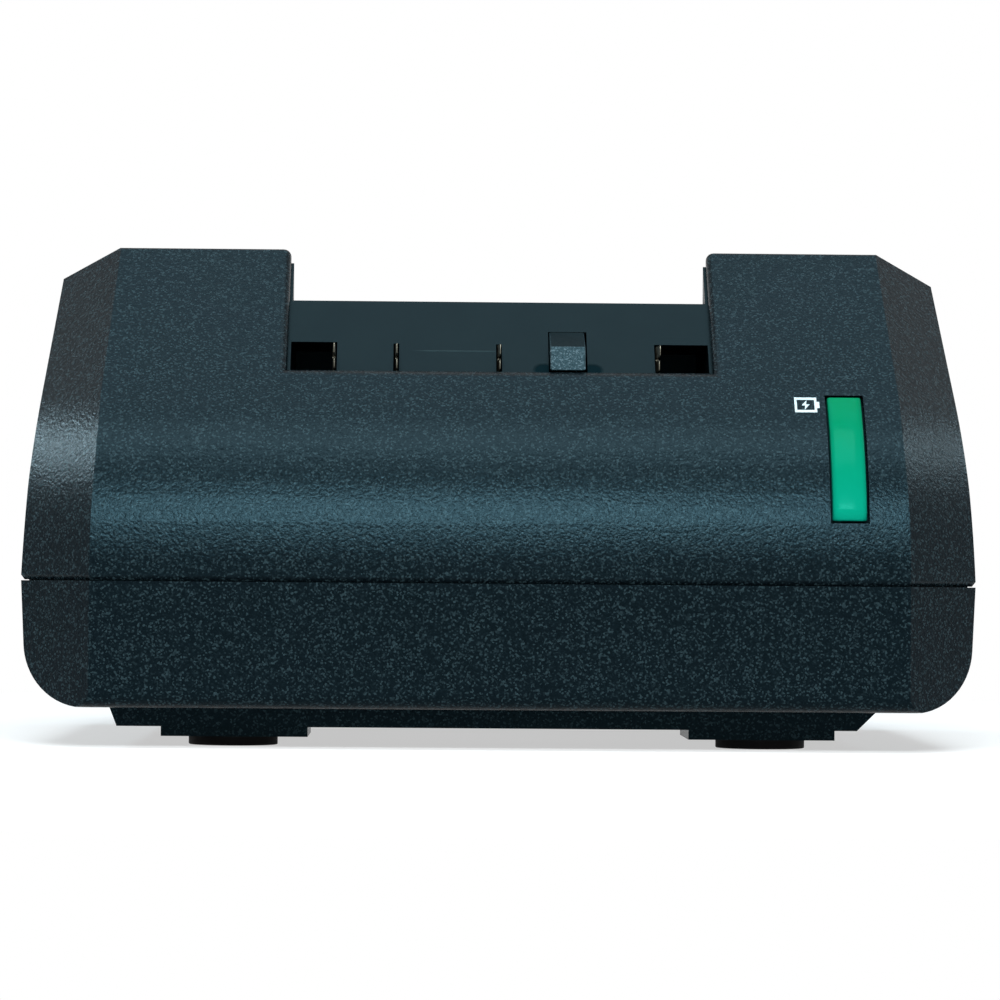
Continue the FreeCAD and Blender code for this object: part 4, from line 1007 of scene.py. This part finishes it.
def buildChoke():
    # A ferrite ring that stands on the board, with a winding on each half
    letGo()
    bpy.ops.mesh.primitive_torus_add(major_radius=choke["ring"] * mm, minor_radius=choke["thick"] * mm,
                                     major_segments=48, minor_segments=20)
    ring = placed(nameIt(bpy.context.object, "chokeRing"), "x", choke["x"], choke["y"], choke["z"])
    complete(ring, "housing", ferrite, ["filter_choke"])
    loops = []
    for half in (0, 180):
        for step in range(choke["turns"]):
            letGo()
            bpy.ops.mesh.primitive_torus_add(major_radius=(choke["thick"] + choke["wire"] * 0.9) * mm,
                                             minor_radius=choke["wire"] * mm,
                                             major_segments=24, minor_segments=8)
            loop = bpy.context.object
            turn = math.radians(half - choke["arc"] / 2 + choke["arc"] * step / (choke["turns"] - 1))
            loop.rotation_euler = (math.radians(90), 0, turn)
            loop.location = (choke["ring"] * mm * math.cos(turn), choke["ring"] * mm * math.sin(turn), 0)
            bpy.ops.object.transform_apply(location=True, rotation=True, scale=True)
            loops.append(loop)
    turns = placed(joinUp("chokeTurns", loops), "x", choke["x"], choke["y"], choke["z"])
    complete(turns, "housing", chokeCopper, (), 60)


can = {
    "neck": 0.93,
    "rim": 0.14,
    "rimDrop": 0.4,
    "lid": 0.84,
    "lidLevels": (0.6, 0.25),
    "score": 0.12,
}


def buildCapacitor(name, x, y, radius, low, high, replaced):
    # A sleeved can: rolled neck near its foot, shrunk rim, and a bare lid scored to open
    sleeve = addRound(name, radius, low, high, x, y, 40)
    pick(sleeve, "EDGE", lambda a, b: abs(a.z - b.z) > 1)
    bpy.ops.mesh.subdivide(number_cuts=7)
    neck = low + (high - low) / 8
    pick(sleeve, "VERT", lambda p: abs(p.z - neck) < 0.1)
    bpy.ops.transform.resize(value=(can["neck"], can["neck"], 1), center_override=(x * mm, y * mm, neck * mm))
    pick(sleeve, "FACE", lambda centre, normal: normal.z > 0.9 and centre.z > high - 0.1)
    insetBy(radius * can["rim"], -can["rimDrop"])
    soften(sleeve, 0.25, 2, 40)
    complete(sleeve, "housing", sleeveBlue, replaced)
    lid = addRound(f"{name}Lid", radius * can["lid"], *(high - drop for drop in can["lidLevels"]), x, y, 40)
    pick(lid, "FACE", lambda centre, normal: normal.z > 0.9)
    insetBy(radius * 0.1)
    insetBy(radius * 0.35, -can["score"])
    soften(lid, 0.05, 1, 40)
    complete(lid, "housing", sinkAluminium)


fuse = {
    "y": 28.7,
    "z": 22.2,
    "left": -64.0,
    "right": -44.0,
    "cap": 5.0,
    "radius": 2.6,
    "capRim": 0.8,
    "capDish": 0.2,
}


def buildFuse():
    glass = addRound("fuseGlass", fuse["radius"] * 0.86, fuse["left"] + 2, fuse["right"] - 2,
                     fuse["y"], fuse["z"], 32, "x")
    complete(soften(glass, 0.3, 2, 40), "housing", fuseGlass, ["mains_fuse"])
    caps = []
    for outer, way in ((fuse["left"], 1), (fuse["right"], -1)):
        low, high = sorted((outer, outer + way * fuse["cap"]))
        cap = addRound("fuseCap", fuse["radius"], low, high, fuse["y"], fuse["z"], 32, "x")
        pick(cap, "FACE", lambda centre, normal: abs(normal.x) > 0.9 and abs(centre.x - outer) < 0.1)
        insetBy(fuse["capRim"])
        bpy.ops.transform.translate(value=(way * fuse["capDish"] * mm, 0, 0))
        caps.append(cap)
    complete(soften(joinUp("fuseCaps", caps), 0.2, 2, 40), "housing", legTin)


chip = {
    "x": (16.0, 28.0),
    "y": (34.2, 39.2),
    "z": (19.75, 21.8),
    "legs": 8,
    "foot": (33.0, 40.4),
    "board": 19.6,
    "legHalf": (0.2, 0.08),
    "dimple": 0.45,
    "dimpleIn": 1.3,
}


def buildChip():
    body = addBox("controlChip", chip["x"], chip["y"], chip["z"])
    middle = sum(chip["z"]) / 2
    split(body, (0, 0, 1), [middle])
    for level in chip["z"]:
        pick(body, "VERT", lambda p: abs(p.z - level) < 0.01)
        bpy.ops.transform.resize(value=(0.975, 0.94, 1))
    cutOut(body, addRound("chipDimple", chip["dimple"], chip["z"][1] - 0.12, chip["z"][1] + 0.3,
                          chip["x"][0] + chip["dimpleIn"], chip["y"][0] + chip["dimpleIn"], 20))
    soften(body, 0.08, 2, 40)
    complete(body, "housing", insulatorBlack, ["control_chip"])
    legs = []
    pitch = (chip["x"][1] - chip["x"][0]) / chip["legs"]
    for i in range(chip["legs"]):
        x = chip["x"][0] + pitch * (i + 0.5)
        for side, edge, toe in ((-1, chip["y"][0], chip["foot"][0]), (1, chip["y"][1], chip["foot"][1])):
            half, flat = chip["legHalf"]
            leg = addBox("leg", (x - half, x + half), tuple(sorted((edge - side * 0.2, edge + side * 0.35))),
                         (middle - flat, middle + flat))
            pick(leg, "FACE", lambda centre, normal: normal.y * side > 0.9)
            bpy.ops.mesh.extrude_region_move(TRANSFORM_OT_translate={
                "value": (0, side * 0.2 * mm, (chip["board"] + 0.1 - middle) * mm)})
            bpy.ops.mesh.extrude_region_move(TRANSFORM_OT_translate={
                "value": (0, (toe - edge - side * 0.55) * mm, 0)})
            letGo()
            legs.append(leg)
    complete(joinUp("chipLegs", legs), "housing", legTin)


buildSpring()
buildWinding()
buildChoke()
buildCapacitor("bulkCapacitor", -25, -23.3, 9, 19.6, 53.6, ["bulk_capacitor"])
for index, y in enumerate((-23.3, -12.3, -1.3)):
    stoodFor = ["output_capacitors"] if index == 0 else []
    buildCapacitor(f"outputCapacitor{index}", 57.5, y, 5, 19.6, 40.6, stoodFor)
buildFuse()
buildChip()
dress(insulatorBlack, "terminal_block", "seat_switch", "riser_socket", "inlet_terminal", "cord_clamp",
      "switching_transistor", "output_rectifier", "bridge_rectifier")
dress(bobbinPlastic, "transformer_bobbin")
dress(filmYellow, "film_capacitor")
dress(clearPipe, "light_guide", "status_led")
dress(laminate, "circuit_board", "riser_board")
dress(sheetFilm, "insulating_sheet")
dress(ferrite, "transformer_core")
dress(sinkAluminium, "primary_heat_sink", "secondary_heat_sink")
print("charger: inside dressed")


# Floor, light and camera

studio = {
    "floorSize": 6.0,
    "ambient": 0.12,
    "reach": 1.3,
    "tints": {"roofLamp": (0.55, 0.86, 1.0), "leftLamp": (0.75, 0.93, 1.0), "rightLamp": (0.75, 0.93, 1.0)},
    "lamps": {
        "keyLamp": {"turn": 0, "rise": 28, "size": (0.6, 0.26), "power": 22},
        "hoodLamp": {"turn": 0, "rise": 65, "size": (0.8, 0.45), "power": 13},
        "roofLamp": {"turn": 180, "rise": 86, "size": (1.0, 0.6), "power": 5.5},
        "leftLamp": {"turn": -105.5, "rise": 28.5, "size": (0.26, 0.12), "power": 6},
        "rightLamp": {"turn": 108, "rise": 28, "size": (0.26, 0.14), "power": 1.8},
    },
}
camera = {
    "x": -15.84,
    "distance": 800.0,
    "height": 31.35,
    "lens": 155.4,
    "turn": 1.115,
    "tilt": 1.0885,
    "roll": 0.45,
}


def lightPathMask(tree):
    # One for what the camera, a reflection or a clear piece sees
    path = tree.nodes.new("ShaderNodeLightPath")
    total = path.outputs["Is Camera Ray"]
    for name in ("Is Glossy Ray", "Is Transmission Ray"):
        most = tree.nodes.new("ShaderNodeMath")
        most.operation = "MAXIMUM"
        tree.links.new(total, most.inputs[0])
        tree.links.new(path.outputs[name], most.inputs[1])
        total = most.outputs[0]
    return total


def buildFloor():
    letGo()
    bpy.ops.mesh.primitive_plane_add(size=studio["floorSize"], location=(0, 0, 0))
    floor = nameIt(bpy.context.object, "floor")
    finish = Finish("floorPaper", Roughness=0.9, Specular_IOR_Level=0.1)
    far = finish.node("ShaderNodeVectorMath", {"operation": "LENGTH"}, {0: finish.place}, "Value")
    white = finish.node("ShaderNodeEmission", {}, {"Color": (1, 1, 1, 1), "Strength": 1.0})
    haze = finish.noise(60, 2)
    finish.feed(Base_Color=finish.blend(haze, (0.86, 0.86, 0.86), (0.88, 0.88, 0.88)))
    tree = finish.tree
    mix = tree.nodes.new("ShaderNodeMixShader")
    share = finish.between(far, 0.16, 0.34, 0.55, 1.0) * Wire(finish, lightPathMask(tree))
    tree.links.new(share.socket, mix.inputs[0])
    tree.links.new(finish.shader.outputs[0], mix.inputs[1])
    tree.links.new(white.socket, mix.inputs[2])
    tree.links.new(mix.outputs[0], tree.nodes["Material Output"].inputs[0])
    floor.data.materials.append(finish.material)


def buildWorld():
    world = bpy.data.worlds.new("studioWorld")
    bpy.context.scene.world = world
    world.use_nodes = True
    tree = world.node_tree
    light = tree.nodes["Background"]
    light.inputs["Color"].default_value = (1, 1, 1, 1)
    light.inputs["Strength"].default_value = studio["ambient"]
    seen = tree.nodes.new("ShaderNodeBackground")
    seen.inputs["Strength"].default_value = 1.0
    seen.inputs["Color"].default_value = (1, 1, 1, 1)
    mix = tree.nodes.new("ShaderNodeMixShader")
    tree.links.new(lightPathMask(tree), mix.inputs[0])
    tree.links.new(light.outputs[0], mix.inputs[1])
    tree.links.new(seen.outputs[0], mix.inputs[2])
    tree.links.new(mix.outputs[0], tree.nodes["World Output"].inputs[0])


def addLamp(name, lamp):
    # Placed by its turn from the front, to the right, and its rise above the floor, in degrees
    letGo()
    turn, rise = math.radians(lamp["turn"]), math.radians(lamp["rise"])
    way = Vector((math.sin(turn) * math.cos(rise), -math.cos(turn) * math.cos(rise), math.sin(rise)))
    middle = Vector((0, 0, 0.05))
    bpy.ops.object.light_add(type="AREA", location=middle + way * studio["reach"])
    light = bpy.context.object
    light.name = name
    light.data.shape = "RECTANGLE"
    light.data.size, light.data.size_y = lamp["size"]
    light.data.energy = lamp["power"]
    light.data.color = studio["tints"].get(name, (0.92, 0.98, 1.0))
    light.rotation_euler = way.to_track_quat("Z", "Y").to_euler()


def buildCamera():
    letGo()
    back = housing["front"] - camera["distance"]
    bpy.ops.object.camera_add(location=(camera["x"] * mm, back * mm, camera["height"] * mm))
    view = bpy.context.object
    view.name = "photoCamera"
    view.data.lens = camera["lens"]
    view.data.sensor_width = 36
    view.data.clip_start = 0.05
    view.rotation_mode = "YXZ"
    view.rotation_euler = (math.radians(90 + camera["tilt"]), 0, math.radians(-camera["turn"]))
    bpy.context.view_layer.update()
    turned = view.matrix_world.to_quaternion()
    sight = turned @ Vector((0, 0, 1))
    turned.rotate(Quaternion(sight, math.radians(camera["roll"])))
    view.rotation_mode = "QUATERNION"
    view.rotation_quaternion = turned
    bpy.context.scene.camera = view


buildFloor()
buildWorld()
for name, lamp in studio["lamps"].items():
    addLamp(name, lamp)
buildCamera()
bpy.context.scene.view_settings.view_transform = "Standard"
print("charger: studio done")
